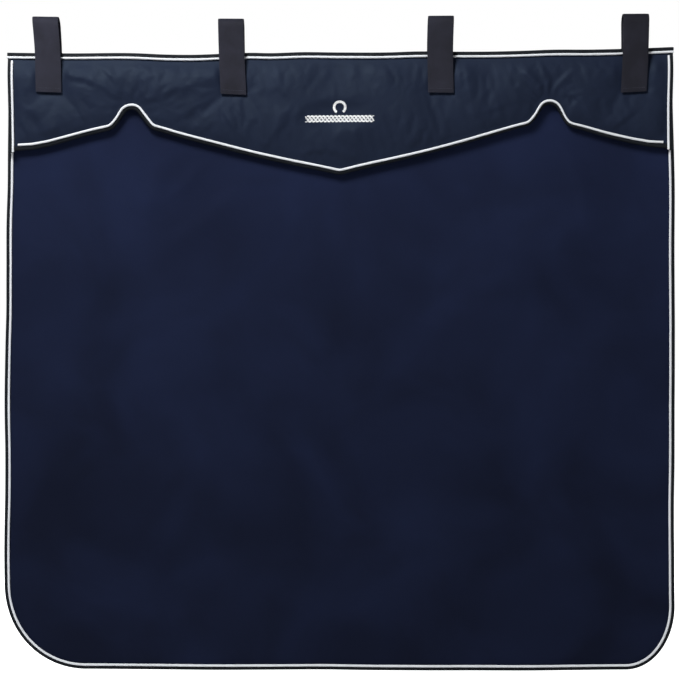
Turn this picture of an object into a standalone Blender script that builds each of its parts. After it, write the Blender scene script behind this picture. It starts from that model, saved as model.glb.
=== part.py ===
"""Stable curtain: a lined canvas drop, a padded valance, bound and piped edges and four rail straps.

X runs along the rail, the front faces -Y and +Z is up. The origin is on the rail's axis at mid-width.
Every piece is drawn where it hangs at rest. A piece that moves is parented to an empty on its fold line.
"""

import math

import bmesh
import bpy
from mathutils import Matrix, Vector

# Whole curtain, over its bindings
CURTAIN_WIDTH = 1.251
CURTAIN_HEIGHT = 1.156
RAIL_TO_TOP = 0.050
CORNER_LEFT = (0.150, 0.154)
CORNER_RIGHT = (0.090, 0.120)

# Plies and the running gap between them
CANVAS = 0.0012
PANEL_LINING = 0.0010
SHELL = 0.0009
WADDING = 0.0035
VALANCE_LINING = 0.0008
GAP = 0.0003

# Binding tape and piping. A margin runs from the finished edge to the middle of the piping.
TAPE = 0.0010
PIPING = 0.0050
SIDE_MARGIN = 0.0066
TOP_MARGIN = 0.0075
HEM_MARGIN = 0.0120
BACK_LEG = 0.0120

# Valance: drops are from the curtain's top edge to the hem's piping. The wadding starts this share of the
# way from the seam's depth to the plump depth.
SEAM_DEPTH = 0.014
PLUMP_DEPTH = 0.030
WADDING_START = 0.4
VALANCE_FOLD_DROP = 0.086
END_DROP = 0.1715
SHOULDER_DROP = 0.136
TIP_DROP = 0.2207
PEAK_OFFSET = 0.396
PEAK_HALF_WIDTH = 0.043
PEAK_RISE = 0.057
PEAK_RADIUS = 0.025
SHOULDER_RADIUS = 0.015
TIP_RADIUS = 0.020
KNEE_INSET = 0.043
KNEE_RADIUS = 0.250
BELOW_TIP = 0.008

# Straps over the rail
RAIL_DIAMETER = 0.030
WEBBING = 0.0020
STRAP_WIDTH = 0.048
OUTER_STRAP_INSET = 0.0735
INNER_STRAP_OFFSET = 0.196
TONGUE_DROP = 0.0765
TAIL_DROP = 0.050
FASTENER = 0.0013
FASTENER_WIDTH = 0.044
FASTENER_TOP_DROP = 0.034
FASTENER_LENGTH = 0.040

# Emblem on the valance
EMBROIDERY = 0.0006
EMBLEM_TOP_DROP = 0.090
HORSESHOE_RADIUS = 0.0105
HORSESHOE_BAND = 0.0052
HORSESHOE_OPENING = math.radians(70)
PLAIT_WIDTH = 0.130
PLAIT_HEIGHT = 0.010
PLAIT_STITCHES = 22
PLAIT_BAND = 0.0034

# Drawing steps, and the share of a side's length that its fillets may take
FILLET_ROOM = 0.95
ARC_STEP = math.radians(10)
BEND_STEP = math.radians(12)
PIPING_RESOLUTION = 2

# Base colour, roughness
LOOKS = {
    "canvas": ((0.012, 0.017, 0.043), 0.85),
    "panel_lining": ((0.010, 0.013, 0.030), 0.90),
    "nylon": ((0.025, 0.034, 0.062), 0.42),
    "wadding": ((0.800, 0.800, 0.780), 0.95),
    "binding": ((0.008, 0.011, 0.017), 0.70),
    "piping": ((0.800, 0.820, 0.830), 0.55),
    "webbing": ((0.031, 0.032, 0.050), 0.75),
    "fastener": ((0.012, 0.013, 0.020), 0.95),
    "thread": ((0.780, 0.790, 0.800), 0.50),
}

# Heights and depths that follow from the sizes above
TOP = -RAIL_TO_TOP
HALF = CURTAIN_WIDTH / 2
PLY_HALF = HALF - TAPE - GAP
TAPE_MID = GAP + TAPE / 2
PANEL_DEPTH = (CANVAS + GAP + PANEL_LINING) / 2
HEM_PLY_REACH = HEM_MARGIN - TAPE - GAP
HEM_PIPING_REACH = HALF - SIDE_MARGIN - PIPING / 2 - GAP
VALANCE_FOLD = TOP - VALANCE_FOLD_DROP
DROP_FOLD = TOP - TIP_DROP - HEM_MARGIN - BELOW_TIP
PANEL_PIPING_FRONT = -PANEL_DEPTH - GAP - PIPING
SEAM_LINING = -PANEL_DEPTH - GAP - VALANCE_LINING / 2
SEAM_SHELL = SEAM_LINING - VALANCE_LINING / 2 - GAP - SHELL / 2
FULL_LINING = PANEL_PIPING_FRONT - GAP - TAPE - GAP - VALANCE_LINING / 2
FULL_SHELL = FULL_LINING - VALANCE_LINING / 2 - GAP - WADDING - GAP - SHELL / 2
SHELL_FRONT = FULL_SHELL - SHELL / 2
VALANCE_PIPING = SHELL_FRONT - GAP - PIPING / 2
TONGUE_MID = SHELL_FRONT - GAP - FASTENER - GAP - FASTENER - GAP - WEBBING / 2
VALANCE_AXIS = min(VALANCE_PIPING - PIPING / 2, TONGUE_MID - WEBBING / 2) - GAP
PLY_FOLD_GAP = PANEL_DEPTH + GAP
TRIM_FOLD_GAP = math.hypot(PANEL_PIPING_FRONT, PLY_FOLD_GAP) + GAP
STRAPS = (-HALF + OUTER_STRAP_INSET, -INNER_STRAP_OFFSET, INNER_STRAP_OFFSET, HALF - OUTER_STRAP_INSET)
SIDES = (("left", -1), ("right", 1))


# ---- Drawing in the curtain's plane -------------------------------------------------------------------


def right_hand(step):
    """The unit normal on the right-hand side of a step in the XZ plane."""
    return Vector((step[1], -step[0])).normalized()


def offset(path, distance):
    """An open path moved to its right-hand side, with mitred turns."""
    steps = [after - before for before, after in zip(path, path[1:])]
    normals = [right_hand(step) for step in steps]
    moved = []
    for index, point in enumerate(path):
        before = normals[max(index - 1, 0)]
        after = normals[min(index, len(normals) - 1)]
        moved.append(point + (before + after) * distance / (1 + before.dot(after)))
    return moved


def rounded(corners):
    """A path through (x, z, radius) corners, each one with a radius turned on an arc."""
    points = [Vector(corner[:2]) for corner in corners]
    sides = [(after - before).length for before, after in zip(points, points[1:])]
    room = [FILLET_ROOM * side / 2 for side in sides]
    room[0] *= 2
    room[-1] *= 2
    path = [points[0]]
    for index in range(1, len(points) - 1):
        radius = corners[index][2]
        path += fillet(*points[index - 1 : index + 2], radius, min(room[index - 1], room[index]))
    return [*path, points[-1]]


def fillet(before, here, after, radius, room):
    """The arc of this radius that rounds the turn at here, or the largest that its sides have room for."""
    into = (here - before).normalized()
    out = (after - here).normalized()
    turn = into.angle_signed(out)
    reach = min(radius * math.tan(abs(turn) / 2), room)
    start = here - into * reach
    side = right_hand(into) * math.copysign(reach / math.tan(abs(turn) / 2), turn)
    centre = start + side
    count = max(2, math.ceil(abs(turn) / ARC_STEP))
    turns = [Matrix.Rotation(-turn * step / count, 2) for step in range(count + 1)]
    return [centre + rotation @ -side for rotation in turns]


def panel_edge(top):
    """The panel's finished edge from the height top: down the left, along the bottom and up the right."""
    bottom = TOP - CURTAIN_HEIGHT
    path = [Vector((-HALF, top))]
    for sign, (across, up), angles in ((-1, CORNER_LEFT, (180, 270)), (1, CORNER_RIGHT, (270, 360))):
        centre = Vector((sign * (HALF - across), bottom + up))
        first, last = (math.radians(angle) for angle in angles)
        count = math.ceil((last - first) / ARC_STEP)
        for step in range(count + 1):
            angle = first + (last - first) * step / count
            path.append(centre + Vector((across * math.cos(angle), up * math.sin(angle))))
    return [*path, Vector((HALF, top))]


def hem_path(reach):
    """The middle of the valance's hem piping, from -reach to reach. The piping has the shortest reach."""
    end = TOP - END_DROP
    shoulder = TOP - SHOULDER_DROP
    peak = (PEAK_OFFSET, shoulder + PEAK_RISE, PEAK_RADIUS)
    half_path = [
        (PEAK_OFFSET - PEAK_HALF_WIDTH, shoulder, SHOULDER_RADIUS),
        peak,
        (PEAK_OFFSET + PEAK_HALF_WIDTH, shoulder, SHOULDER_RADIUS),
        (HALF - KNEE_INSET, end, KNEE_RADIUS),
        (HEM_PIPING_REACH, end, 0),
    ]
    mirrored = [(-x, z, radius) for x, z, radius in reversed(half_path)]
    path = rounded([*mirrored, (0, TOP - TIP_DROP, TIP_RADIUS), *half_path])
    path[0].x = -reach
    path[-1].x = reach
    return path


def at_depth(path, y):
    return [Vector((x, y, z)) for x, z in path]


# ---- Building blocks ----------------------------------------------------------------------------------


def look(name):
    material = bpy.data.materials.get(name)
    if material is None:
        colour, roughness = LOOKS[name]
        material = bpy.data.materials.new(name)
        material.use_nodes = True
        shader = material.node_tree.nodes["Principled BSDF"]
        shader.inputs["Base Color"].default_value = (*colour, 1)
        shader.inputs["Roughness"].default_value = roughness
        shader.inputs["Metallic"].default_value = 0
    return material


def fold_line(name, y, z):
    """An empty on a fold line, which runs along X."""
    empty = bpy.data.objects.new(name, None)
    empty.location = (0, y, z)
    bpy.context.collection.objects.link(empty)
    return empty


def add(name, data, look_name, fold):
    """Names a piece, gives it its material and hangs it on its fold line, if it has one."""
    piece = bpy.data.objects.new(name, data)
    data.materials.append(look(look_name))
    bpy.context.collection.objects.link(piece)
    if fold is not None:
        piece.parent = fold
        piece.matrix_parent_inverse = Matrix.Translation(-fold.location)
    return piece


def mesh_from(name, build):
    mesh = bpy.data.meshes.new(name)
    bmesh.ops.recalc_face_normals(build, faces=build.faces)
    build.to_mesh(mesh)
    build.free()
    return mesh


def prism(name, outline, along, look_name, fold=None):
    """An outline of points in space, extruded by the vector along."""
    build = bmesh.new()
    face = build.faces.new([build.verts.new(point) for point in outline])
    grown = bmesh.ops.extrude_face_region(build, geom=[face])
    verts = [item for item in grown["geom"] if isinstance(item, bmesh.types.BMVert)]
    bmesh.ops.translate(build, verts=verts, vec=along)
    return add(name, mesh_from(name, build), look_name, fold)


def laid(name, rows, thickness, look_name, fold=None):
    """A sheet laid through rows of points, which are its mid-surface, and made this thick."""
    build = bmesh.new()
    grid = [[build.verts.new(point) for point in row] for row in rows]
    for row, following in zip(grid, grid[1:]):
        for a, b, c, d in zip(row, row[1:], following[1:], following):
            build.faces.new((a, b, c, d))
    piece = add(name, mesh_from(name, build), look_name, fold)
    solid = piece.modifiers.new("thickness", "SOLIDIFY")
    solid.thickness = thickness
    solid.offset = 0
    solid.use_even_offset = True
    return piece


def flat_ply(name, outline, y, thickness, look_name, fold=None):
    """A ply cut to an outline in the XZ plane, with its middle at y."""
    return prism(name, at_depth(outline, y - thickness / 2), (0, thickness, 0), look_name, fold)


def bound_edge(name, edge, legs, faces, fold=None):
    """Tape folded over a finished edge: a leg on the front face, a web past the plies, a leg on the back."""
    front = faces[0] - TAPE_MID
    back = faces[1] + TAPE_MID
    web = -TAPE / 2
    section = ((-legs[0], front), (web, front), (web, back), (-legs[1], back))
    columns = [at_depth(offset(edge, inset), y) for inset, y in section]
    return laid(name, list(zip(*columns)), TAPE, "binding", fold)


def piping(name, path, fold=None):
    """A round piping bead along a path of points in space."""
    curve = bpy.data.curves.new(name, "CURVE")
    curve.dimensions = "3D"
    curve.bevel_depth = PIPING / 2
    curve.bevel_resolution = PIPING_RESOLUTION
    curve.use_fill_caps = True
    spline = curve.splines.new("POLY")
    spline.points.add(len(path) - 1)
    for point, position in zip(spline.points, path):
        point.co = (*position, 1)
    return add(name, curve, "piping", fold)


def front_leg(margin):
    """How far a binding's front leg reaches in from the edge before it meets the piping."""
    return margin - PIPING / 2 - GAP


# ---- Panel --------------------------------------------------------------------------------------------


def panel_plies(suffix, outline, fold=None):
    """The canvas face and the lining of one part of the panel, back to back about y = 0."""
    canvas_mid = -PANEL_DEPTH + CANVAS / 2
    lining_mid = PANEL_DEPTH - PANEL_LINING / 2
    flat_ply("panel_canvas_" + suffix, outline, canvas_mid, CANVAS, "canvas", fold)
    flat_ply("panel_lining_" + suffix, outline, lining_mid, PANEL_LINING, "panel_lining", fold)


def panel_header():
    """The panel from its top edge down to the fold line below the valance."""
    top = TOP - TAPE - GAP
    bottom = DROP_FOLD + GAP
    panel_plies("header", [(-PLY_HALF, top), (PLY_HALF, top), (PLY_HALF, bottom), (-PLY_HALF, bottom)])
    trim_from = TOP - PLUMP_DEPTH - GAP
    trim_to = DROP_FOLD + TRIM_FOLD_GAP
    legs = (front_leg(SIDE_MARGIN), BACK_LEG)
    for side, sign in SIDES:
        edge = [Vector((sign * HALF, trim_from)), Vector((sign * HALF, trim_to))][::-sign]
        bound_edge("panel_binding_header_" + side, edge, legs, (-PANEL_DEPTH, PANEL_DEPTH))
        x = sign * (HALF - SIDE_MARGIN)
        y = PANEL_PIPING_FRONT + PIPING / 2
        piping("panel_piping_header_" + side, [(x, y, trim_from), (x, y, trim_to)])


def panel_drop(fold):
    """The hanging part of the panel, with one binding and one piping round its three free sides."""
    edge = panel_edge(DROP_FOLD - PLY_FOLD_GAP)
    panel_plies("drop", offset(edge, -TAPE - GAP), fold)
    legs = (front_leg(SIDE_MARGIN), BACK_LEG)
    bound_edge("panel_binding_drop", edge, legs, (-PANEL_DEPTH, PANEL_DEPTH), fold)
    middle = PANEL_PIPING_FRONT + PIPING / 2
    piping("panel_piping_drop", at_depth(offset(edge, -SIDE_MARGIN), middle), fold)


# ---- Valance ------------------------------------------------------------------------------------------


def valance_stations(top, bottom, seam, full):
    """(y, z) points down a ply of the header: pinched in the top seam, then plump and vertical."""
    stations = ((seam, top), (seam, TOP - SEAM_DEPTH), (full, TOP - PLUMP_DEPTH), (full, bottom))
    return [Vector(station) for station in stations]


def header_ply(name, seam, full, thickness, look_name):
    stations = valance_stations(TOP - TAPE - GAP, VALANCE_FOLD + GAP, seam, full)
    rows = [[(-PLY_HALF, y, z), (PLY_HALF, y, z)] for y, z in stations]
    laid(name, rows, thickness, look_name)


def header_wadding():
    """The wadding's upper end, skived to a wedge between the shell and the lining."""
    front = FULL_SHELL + SHELL / 2 + GAP
    back = front + WADDING
    seam_front = SEAM_SHELL + SHELL / 2 + GAP
    seam_back = SEAM_LINING - VALANCE_LINING / 2 - GAP
    wedge = TOP - SEAM_DEPTH - WADDING_START * (PLUMP_DEPTH - SEAM_DEPTH)
    skived_front = seam_front + WADDING_START * (front - seam_front) + GAP / 2
    skived_back = seam_back + WADDING_START * (back - seam_back) - GAP / 2
    plump = TOP - PLUMP_DEPTH
    bottom = VALANCE_FOLD + GAP
    profile = (
        (skived_front, wedge),
        (front, plump),
        (front, bottom),
        (back, bottom),
        (back, plump),
        (skived_back, wedge),
    )
    outline = [(-PLY_HALF, y, z) for y, z in profile]
    prism("valance_wadding_header", outline, (2 * PLY_HALF, 0, 0), "wadding")


def valance_header():
    """The valance from the top seam down to its fold line."""
    header_ply("valance_shell_header", SEAM_SHELL, FULL_SHELL, SHELL, "nylon")
    header_wadding()
    header_ply("valance_lining_header", SEAM_LINING, FULL_LINING, VALANCE_LINING, "panel_lining")
    start = TOP - TOP_MARGIN - PIPING / 2 - GAP
    shell = valance_stations(start, VALANCE_FOLD + GAP, SEAM_SHELL, FULL_SHELL)
    lining = valance_stations(start, VALANCE_FOLD + GAP, SEAM_LINING, FULL_LINING)
    fronts = offset(shell, SHELL / 2 + TAPE_MID)
    backs = offset(lining, -VALANCE_LINING / 2)
    beads = offset(shell, SHELL / 2 + GAP + PIPING / 2)
    for side, sign in SIDES:
        outer = sign * (HALF - TAPE / 2)
        inner = sign * (HALF - front_leg(SIDE_MARGIN))
        rows = [[(inner, *front), (outer, *front), (outer, *back)] for front, back in zip(fronts, backs)]
        laid("valance_binding_header_" + side, rows, TAPE, "binding")
        middle = sign * (HALF - SIDE_MARGIN)
        piping("valance_piping_header_" + side, [(middle, *bead) for bead in beads])


def valance_flap(fold):
    """The free flap of the valance, with its shaped hem."""
    top = VALANCE_FOLD - GAP
    outline = [Vector((-PLY_HALF, top)), *offset(hem_path(PLY_HALF), HEM_PLY_REACH), Vector((PLY_HALF, top))]
    wadding_mid = FULL_SHELL + SHELL / 2 + GAP + WADDING / 2
    flat_ply("valance_shell_flap", outline, FULL_SHELL, SHELL, "nylon", fold)
    flat_ply("valance_wadding_flap", outline, wadding_mid, WADDING, "wadding", fold)
    flat_ply("valance_lining_flap", outline, FULL_LINING, VALANCE_LINING, "panel_lining", fold)
    faces = (SHELL_FRONT, FULL_LINING + VALANCE_LINING / 2)
    hem_leg = front_leg(HEM_MARGIN)
    hem_edge = offset(hem_path(HALF), HEM_MARGIN)
    bound_edge("valance_binding_hem", hem_edge, (hem_leg, hem_leg), faces, fold)
    piping("valance_piping_hem", at_depth(hem_path(HEM_PIPING_REACH), VALANCE_PIPING), fold)
    side_leg = front_leg(SIDE_MARGIN)
    side_end = TOP - END_DROP - HEM_MARGIN + hem_leg + GAP
    for side, sign in SIDES:
        edge = [Vector((sign * HALF, top)), Vector((sign * HALF, side_end))][::-sign]
        bound_edge("valance_binding_flap_" + side, edge, (side_leg, side_leg), faces, fold)
        x = sign * (HALF - SIDE_MARGIN)
        piping_end = TOP - END_DROP - PIPING / 2
        line = [(x, VALANCE_PIPING, top), (x, VALANCE_PIPING, piping_end)]
        piping("valance_piping_flap_" + side, line, fold)


# ---- Top edge and emblem ------------------------------------------------------------------------------


def top_edge():
    """One binding over the panel and the valance together, with the piping laid along it."""
    edge = [Vector((HALF, TOP)), Vector((-HALF, TOP))]
    faces = (SEAM_SHELL - SHELL / 2, PANEL_DEPTH)
    bound_edge("top_binding", edge, (front_leg(TOP_MARGIN), BACK_LEG), faces)
    y = faces[0] - GAP - PIPING / 2
    z = TOP - TOP_MARGIN
    piping("top_piping", [(-HALF, y, z), (HALF, y, z)])


def emblem(fold):
    """A raised horseshoe over a plait, embroidered at the middle of the valance."""
    y = SHELL_FRONT - GAP - EMBROIDERY / 2
    outer = HORSESHOE_RADIUS + HORSESHOE_BAND / 2
    inner = HORSESHOE_RADIUS - HORSESHOE_BAND / 2
    centre = Vector((0, TOP - EMBLEM_TOP_DROP - outer))
    sweep = 2 * math.pi - HORSESHOE_OPENING
    count = math.ceil(sweep / (2 * ARC_STEP))
    first = -math.pi / 2 + HORSESHOE_OPENING / 2
    angles = [first + sweep * step / count for step in range(count + 1)]
    rays = [Vector((math.cos(angle), math.sin(angle))) for angle in angles]
    outline = [centre + ray * outer for ray in rays] + [centre + ray * inner for ray in reversed(rays)]
    flat_ply("emblem_horseshoe", outline, y, EMBROIDERY, "thread", fold)
    middle = centre.y - outer - PLAIT_BAND - PLAIT_HEIGHT / 2
    pitch = PLAIT_WIDTH / PLAIT_STITCHES
    zigzag = [
        Vector((-PLAIT_WIDTH / 2 + pitch * step, middle + PLAIT_HEIGHT / 2 * (-1) ** step))
        for step in range(PLAIT_STITCHES + 1)
    ]
    band = PLAIT_BAND / 2
    outline = offset(zigzag, band) + list(reversed(offset(zigzag, -band)))
    flat_ply("emblem_plait", outline, y, EMBROIDERY, "thread", fold)


# ---- Straps -------------------------------------------------------------------------------------------


def tangent_angle(y, z, radius, side):
    """The angle on a circle round the rail's axis where a line from (y, z) touches it, on this side."""
    return math.atan2(z, y) + side * math.acos(radius / math.hypot(y, z))


def bend(start, end, radius):
    """The corners of a bend round the rail's axis. Its sides touch the radius, the first side at start."""
    count = math.ceil(abs(end - start) / BEND_STEP)
    step = (end - start) / count
    corner_radius = radius / math.cos(step / 2)
    angles = [start + step * (corner + 0.5) for corner in range(count)]
    return [(corner_radius * math.cos(angle), corner_radius * math.sin(angle)) for angle in angles]


def strap_geometry():
    """(y, z) points of the hanger's and the tongue's mid-surface, shared by the four straps."""
    radius = (RAIL_DIAMETER + WEBBING) / 2
    back = PANEL_DEPTH + GAP + TAPE + GAP + WEBBING / 2
    plump = TOP - PLUMP_DEPTH
    start = tangent_angle(back, TOP, radius, 1)
    end = tangent_angle(TONGUE_MID, plump, radius, -1) % (2 * math.pi)
    crown = math.pi / 2
    touch = Vector((radius * math.cos(end), radius * math.sin(end)))
    bends = [*bend(start, crown, radius), *bend(crown, end, radius)]
    hanger = [(back, TOP - TAIL_DROP), (back, TOP), *bends, tuple(touch)]
    direction = (Vector((TONGUE_MID, plump)) - touch).normalized()
    tongue = [tuple(touch + direction * GAP), (TONGUE_MID, plump), (TONGUE_MID, TOP - TONGUE_DROP)]
    return hanger, tongue


def strap(number, x, hanger, tongue):
    """A webbing strap: a hanger sewn to the back and bent over the rail, and a tongue fastened in front."""
    name = f"strap_{number}_"
    left = x - STRAP_WIDTH / 2
    right = x + STRAP_WIDTH / 2
    laid(name + "hanger", [[(left, y, z), (right, y, z)] for y, z in hanger], WEBBING, "webbing")
    axis_y = hanger[-1][0] - WEBBING / 2
    fold = fold_line(name + "fold", axis_y, hanger[-1][1])
    laid(name + "tongue", [[(left, y, z), (right, y, z)] for y, z in tongue], WEBBING, "webbing", fold)
    top = TOP - FASTENER_TOP_DROP
    bottom = top - FASTENER_LENGTH
    low = x - FASTENER_WIDTH / 2
    high = x + FASTENER_WIDTH / 2
    outline = [(low, bottom), (high, bottom), (high, top), (low, top)]
    hook_mid = TONGUE_MID + WEBBING / 2 + GAP + FASTENER / 2
    pile_mid = SHELL_FRONT - GAP - FASTENER / 2
    flat_ply(name + "hook_patch", outline, hook_mid, FASTENER, "fastener", fold)
    flat_ply(name + "pile_patch", outline, pile_mid, FASTENER, "fastener")


def main():
    for piece in list(bpy.data.objects):
        bpy.data.objects.remove(piece, do_unlink=True)
    top_edge()
    panel_header()
    panel_drop(fold_line("drop_fold", 0, DROP_FOLD))
    valance_header()
    valance_fold = fold_line("valance_fold", VALANCE_AXIS, VALANCE_FOLD)
    valance_flap(valance_fold)
    emblem(valance_fold)
    hanger, tongue = strap_geometry()
    for number, x in enumerate(STRAPS, start=1):
        strap(number, x, hanger, tongue)


main()
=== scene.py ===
"""Stable curtain: the cloths, trim, straps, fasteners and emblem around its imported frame, and the studio.

X runs along the rail, the front faces -Y and +Z is up, in metres. Every piece is first laid out flat where
the frame's solids lie. The same soft fields then move its points, so that layers sewn together stay together.
"""

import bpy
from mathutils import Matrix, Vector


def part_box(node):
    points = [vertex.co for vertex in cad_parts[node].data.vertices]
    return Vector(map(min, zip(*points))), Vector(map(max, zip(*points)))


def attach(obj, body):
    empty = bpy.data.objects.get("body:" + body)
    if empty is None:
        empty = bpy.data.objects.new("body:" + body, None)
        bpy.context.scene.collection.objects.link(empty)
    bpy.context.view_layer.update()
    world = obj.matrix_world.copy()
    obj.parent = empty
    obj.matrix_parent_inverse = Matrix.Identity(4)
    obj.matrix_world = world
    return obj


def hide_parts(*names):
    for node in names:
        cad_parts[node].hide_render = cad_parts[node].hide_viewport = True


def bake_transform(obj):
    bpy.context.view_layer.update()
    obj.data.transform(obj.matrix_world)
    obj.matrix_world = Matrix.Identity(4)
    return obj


bl_info = {
    "name": "Stable Curtain",
    "version": (1, 0, 0),
    "blender": (4, 5, 0),
    "location": "3D View > Sidebar > Curtain",
    "description": "Makes a padded and piped stable curtain with rail straps around its frame",
    "category": "Mesh",
}

import math
from collections import namedtuple

import bpy
import numpy as np
from bpy.props import FloatProperty, FloatVectorProperty, PointerProperty
from mathutils import Vector

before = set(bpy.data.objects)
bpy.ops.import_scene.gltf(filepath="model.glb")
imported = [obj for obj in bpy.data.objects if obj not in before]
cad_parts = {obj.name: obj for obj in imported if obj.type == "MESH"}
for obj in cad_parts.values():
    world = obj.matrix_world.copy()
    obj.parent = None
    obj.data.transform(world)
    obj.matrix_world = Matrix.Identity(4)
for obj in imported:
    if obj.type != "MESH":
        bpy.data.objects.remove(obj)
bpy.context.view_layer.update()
BOX = {name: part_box(name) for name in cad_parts}


# ---- Sizes that follow from the frame -----------------------------------------------------------------


def corners_of(node):
    """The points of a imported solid, as rows of x, y and z."""
    return np.array([vertex.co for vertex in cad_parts[node].data.vertices], float)


def middle(node, axis):
    low, high = BOX[node]
    return (low[axis] + high[axis]) / 2


def thickness(node, axis):
    low, high = BOX[node]
    return high[axis] - low[axis]


X, Y, Z = 0, 1, 2
EDGE = BOX["top_binding"][1].x
TOP = BOX["top_binding"][1].z
BOTTOM = BOX["panel_binding_drop"][0].z
PLY_EDGE = BOX["panel_canvas_drop"][1].x
TAPE_OVER = EDGE - PLY_EDGE

CANVAS_FACES = [bound.y for bound in BOX["panel_canvas_drop"]]
LINING_FACES = [bound.y for bound in BOX["panel_lining_drop"]]
PANEL_FACES = (CANVAS_FACES[0], LINING_FACES[1])
CORD_RADIUS = thickness("top_piping", Z) / 2
CORD_INSET = EDGE - middle("panel_piping_header_right", X)
PANEL_CORD_Y = middle("panel_piping_header_right", Y)

SEAM_FRONT = BOX["top_binding"][0].y + TAPE_OVER
SEAM_BACK = BOX["valance_lining_header"][1].y
FULL_FRONT = BOX["valance_shell_flap"][0].y
FULL_BACK = BOX["valance_lining_flap"][1].y
LINING_THICK = thickness("valance_lining_flap", Y)
VALANCE_FACES = (FULL_FRONT, FULL_BACK)

STRAPS = [middle(f"strap_{number}_hanger", X) for number in range(1, 5)]
WEBBING = thickness("strap_1_hanger", X)

TAPE = 0.0010
GAP = TAPE_OVER - TAPE
CORD = CORD_RADIUS - GAP
STRAP_HALF_THICK = 0.0010
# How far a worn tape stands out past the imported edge
PROUD = 0.0022
# How far inside a tape's fold the plies end
PLY_CLEAR = 0.0012
# How far a narrow front leg and a wide back leg of a tape reach in from the edge
FRONT_LEG, BACK_LEG = 0.0038, 0.0120
# How far in from the edge the seams of the panel's tape run, in front and behind
FRONT_SEAM, BACK_SEAM = 0.0026, 0.0104
# Spacing of the points along the trim of the panel and of the valance
PANEL_TRIM_STEP, SIDE_TRIM_STEP = 0.004, 0.003
# The hem's trim takes every third point of its outline
HEM_EVERY = 3
TOP_OVERHANG = 0.0030
TOP_CORD_INSET = TOP - middle("top_piping", Z)
TOP_SEAM = 0.0034
# How far the hem's edge has rolled under, by x
HEM_ROLL = (
    (-EDGE, 0.0015), (-0.500, 0.0032), (-0.200, 0.0040), (0, 0.0035), (0.160, 0.0056), (0.340, 0.0058),
    (0.460, 0.0048), (0.560, 0.0034), (EDGE, 0.0015),
)


def line_of(x, z):
    """A line's points as rows of x and z. Either may be one number."""
    return np.column_stack(np.broadcast_arrays(x, z))


def points_of(x, y, z):
    """Points in space from their coordinates, any of which may be one number or a smaller array."""
    return np.stack(np.broadcast_arrays(x, y, z), axis=-1)


def heading(path):
    """The unit direction at each point of a path."""
    along = np.gradient(path, axis=0)
    return along / np.linalg.norm(along, axis=1, keepdims=True)


def lengths_of(path):
    """The length of a path up to each of its points."""
    return np.concatenate([[0], np.cumsum(np.linalg.norm(np.diff(path, axis=0), axis=1))])


def inward(path):
    """The unit normals to the left of a path of x and z."""
    along = heading(path)
    return line_of(-along[:, 1], along[:, 0])


def hem_outline():
    """The lower edge of the valance's plies, as x and z from left to right, with its facets softened."""
    points = corners_of("valance_shell_flap")
    front = points[points[:, Y] < middle("valance_shell_flap", Y)]
    free = front[front[:, Z] < front[:, Z].max() - GAP]
    free = free[np.argsort(free[:, X])][:, [X, Z]]
    lengths = lengths_of(free)
    spacing = 0.001
    even = np.arange(0, lengths[-1], spacing)
    x, z = (np.interp(even, lengths, free[:, axis]) for axis in (0, 1))
    reach = 5
    kernel = np.hanning(2 * reach + 1)
    kernel /= kernel.sum()
    padded = (np.pad(values, reach, mode="reflect", reflect_type="odd") for values in (x, z))
    x, z = (np.convolve(values, kernel, "valid") for values in padded)
    line = line_of(x, z)
    return line + inward(line) * np.interp(x, *zip(*HEM_ROLL))[:, None]


HEM = hem_outline()
# How far in from the unrolled edge the hem's cord lies, and from the rolled one
HEM_CORD_PLACE = 0.0120
HEM_CORD_INSET = HEM_CORD_PLACE - np.interp(HEM[:, 0], *zip(*HEM_ROLL))


# ---- Sizes and colours that a user sets ---------------------------------------------------------------


def length(name, description, default):
    return FloatProperty(
        name=name, description=description, default=default, min=0, unit="LENGTH", precision=4
    )


def factor(name, description, default):
    return FloatProperty(name=name, description=description, default=default, min=0, max=3, subtype="FACTOR")


def colour(name, description, default):
    return FloatVectorProperty(
        name=name, description=description, default=default, size=3, min=0, max=1, subtype="COLOR"
    )


class CurtainSizes(bpy.types.PropertyGroup):
    panel_step: length("Panel step", "Spacing of the panel's points", 0.008)
    valance_step: length("Valance step", "Spacing of the valance's points", 0.003)
    swell: length("Swell", "How far the wadding swells the valance between its seams", 0.0030)
    folds: factor("Folds", "Height of the valance's folds, as a share of the drawn heights", 0.8)
    crumple: length("Crumple", "Height of the small creases in the valance's shell", 0.0003)
    sway: length("Sway", "Depth of the panel's soft waves", 0.0028)
    stitch: length("Stitch", "Length of one sewn stitch with its gap", 0.0032)
    sewing_thread: length("Sewing thread", "Thickness of the sewing thread", 0.0005)
    embroidery_thread: length("Embroidery thread", "Thickness of one strand of the emblem", 0.0005)


class CurtainColours(bpy.types.PropertyGroup):
    canvas: colour("Canvas", "Face of the panel", (0.0072, 0.0112, 0.0325))
    lining: colour("Lining", "Back of the panel and of the valance", (0.0078, 0.0104, 0.0245))
    nylon: colour("Nylon", "Shell of the valance", (0.0074, 0.0108, 0.0250))
    binding: colour("Binding", "Tape over the edges", (0.0045, 0.0060, 0.0085))
    piping: colour("Piping", "Cord along the edges", (0.7000, 0.7200, 0.7500))
    webbing: colour("Webbing", "Rail straps", (0.0130, 0.0134, 0.0225))
    fastener: colour("Fastener", "Hook and pile patches", (0.0120, 0.0130, 0.0200))
    thread: colour("Thread", "Emblem", (0.7800, 0.7900, 0.8000))


# ---- Hanging ------------------------------------------------------------------------------------------


def smooth(value, start, end):
    """0 at start, 1 at end and a smooth step between, over whole arrays."""
    share = np.clip((value - start) / (end - start), 0, 1)
    return share * share * (3 - 2 * share)


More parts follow.
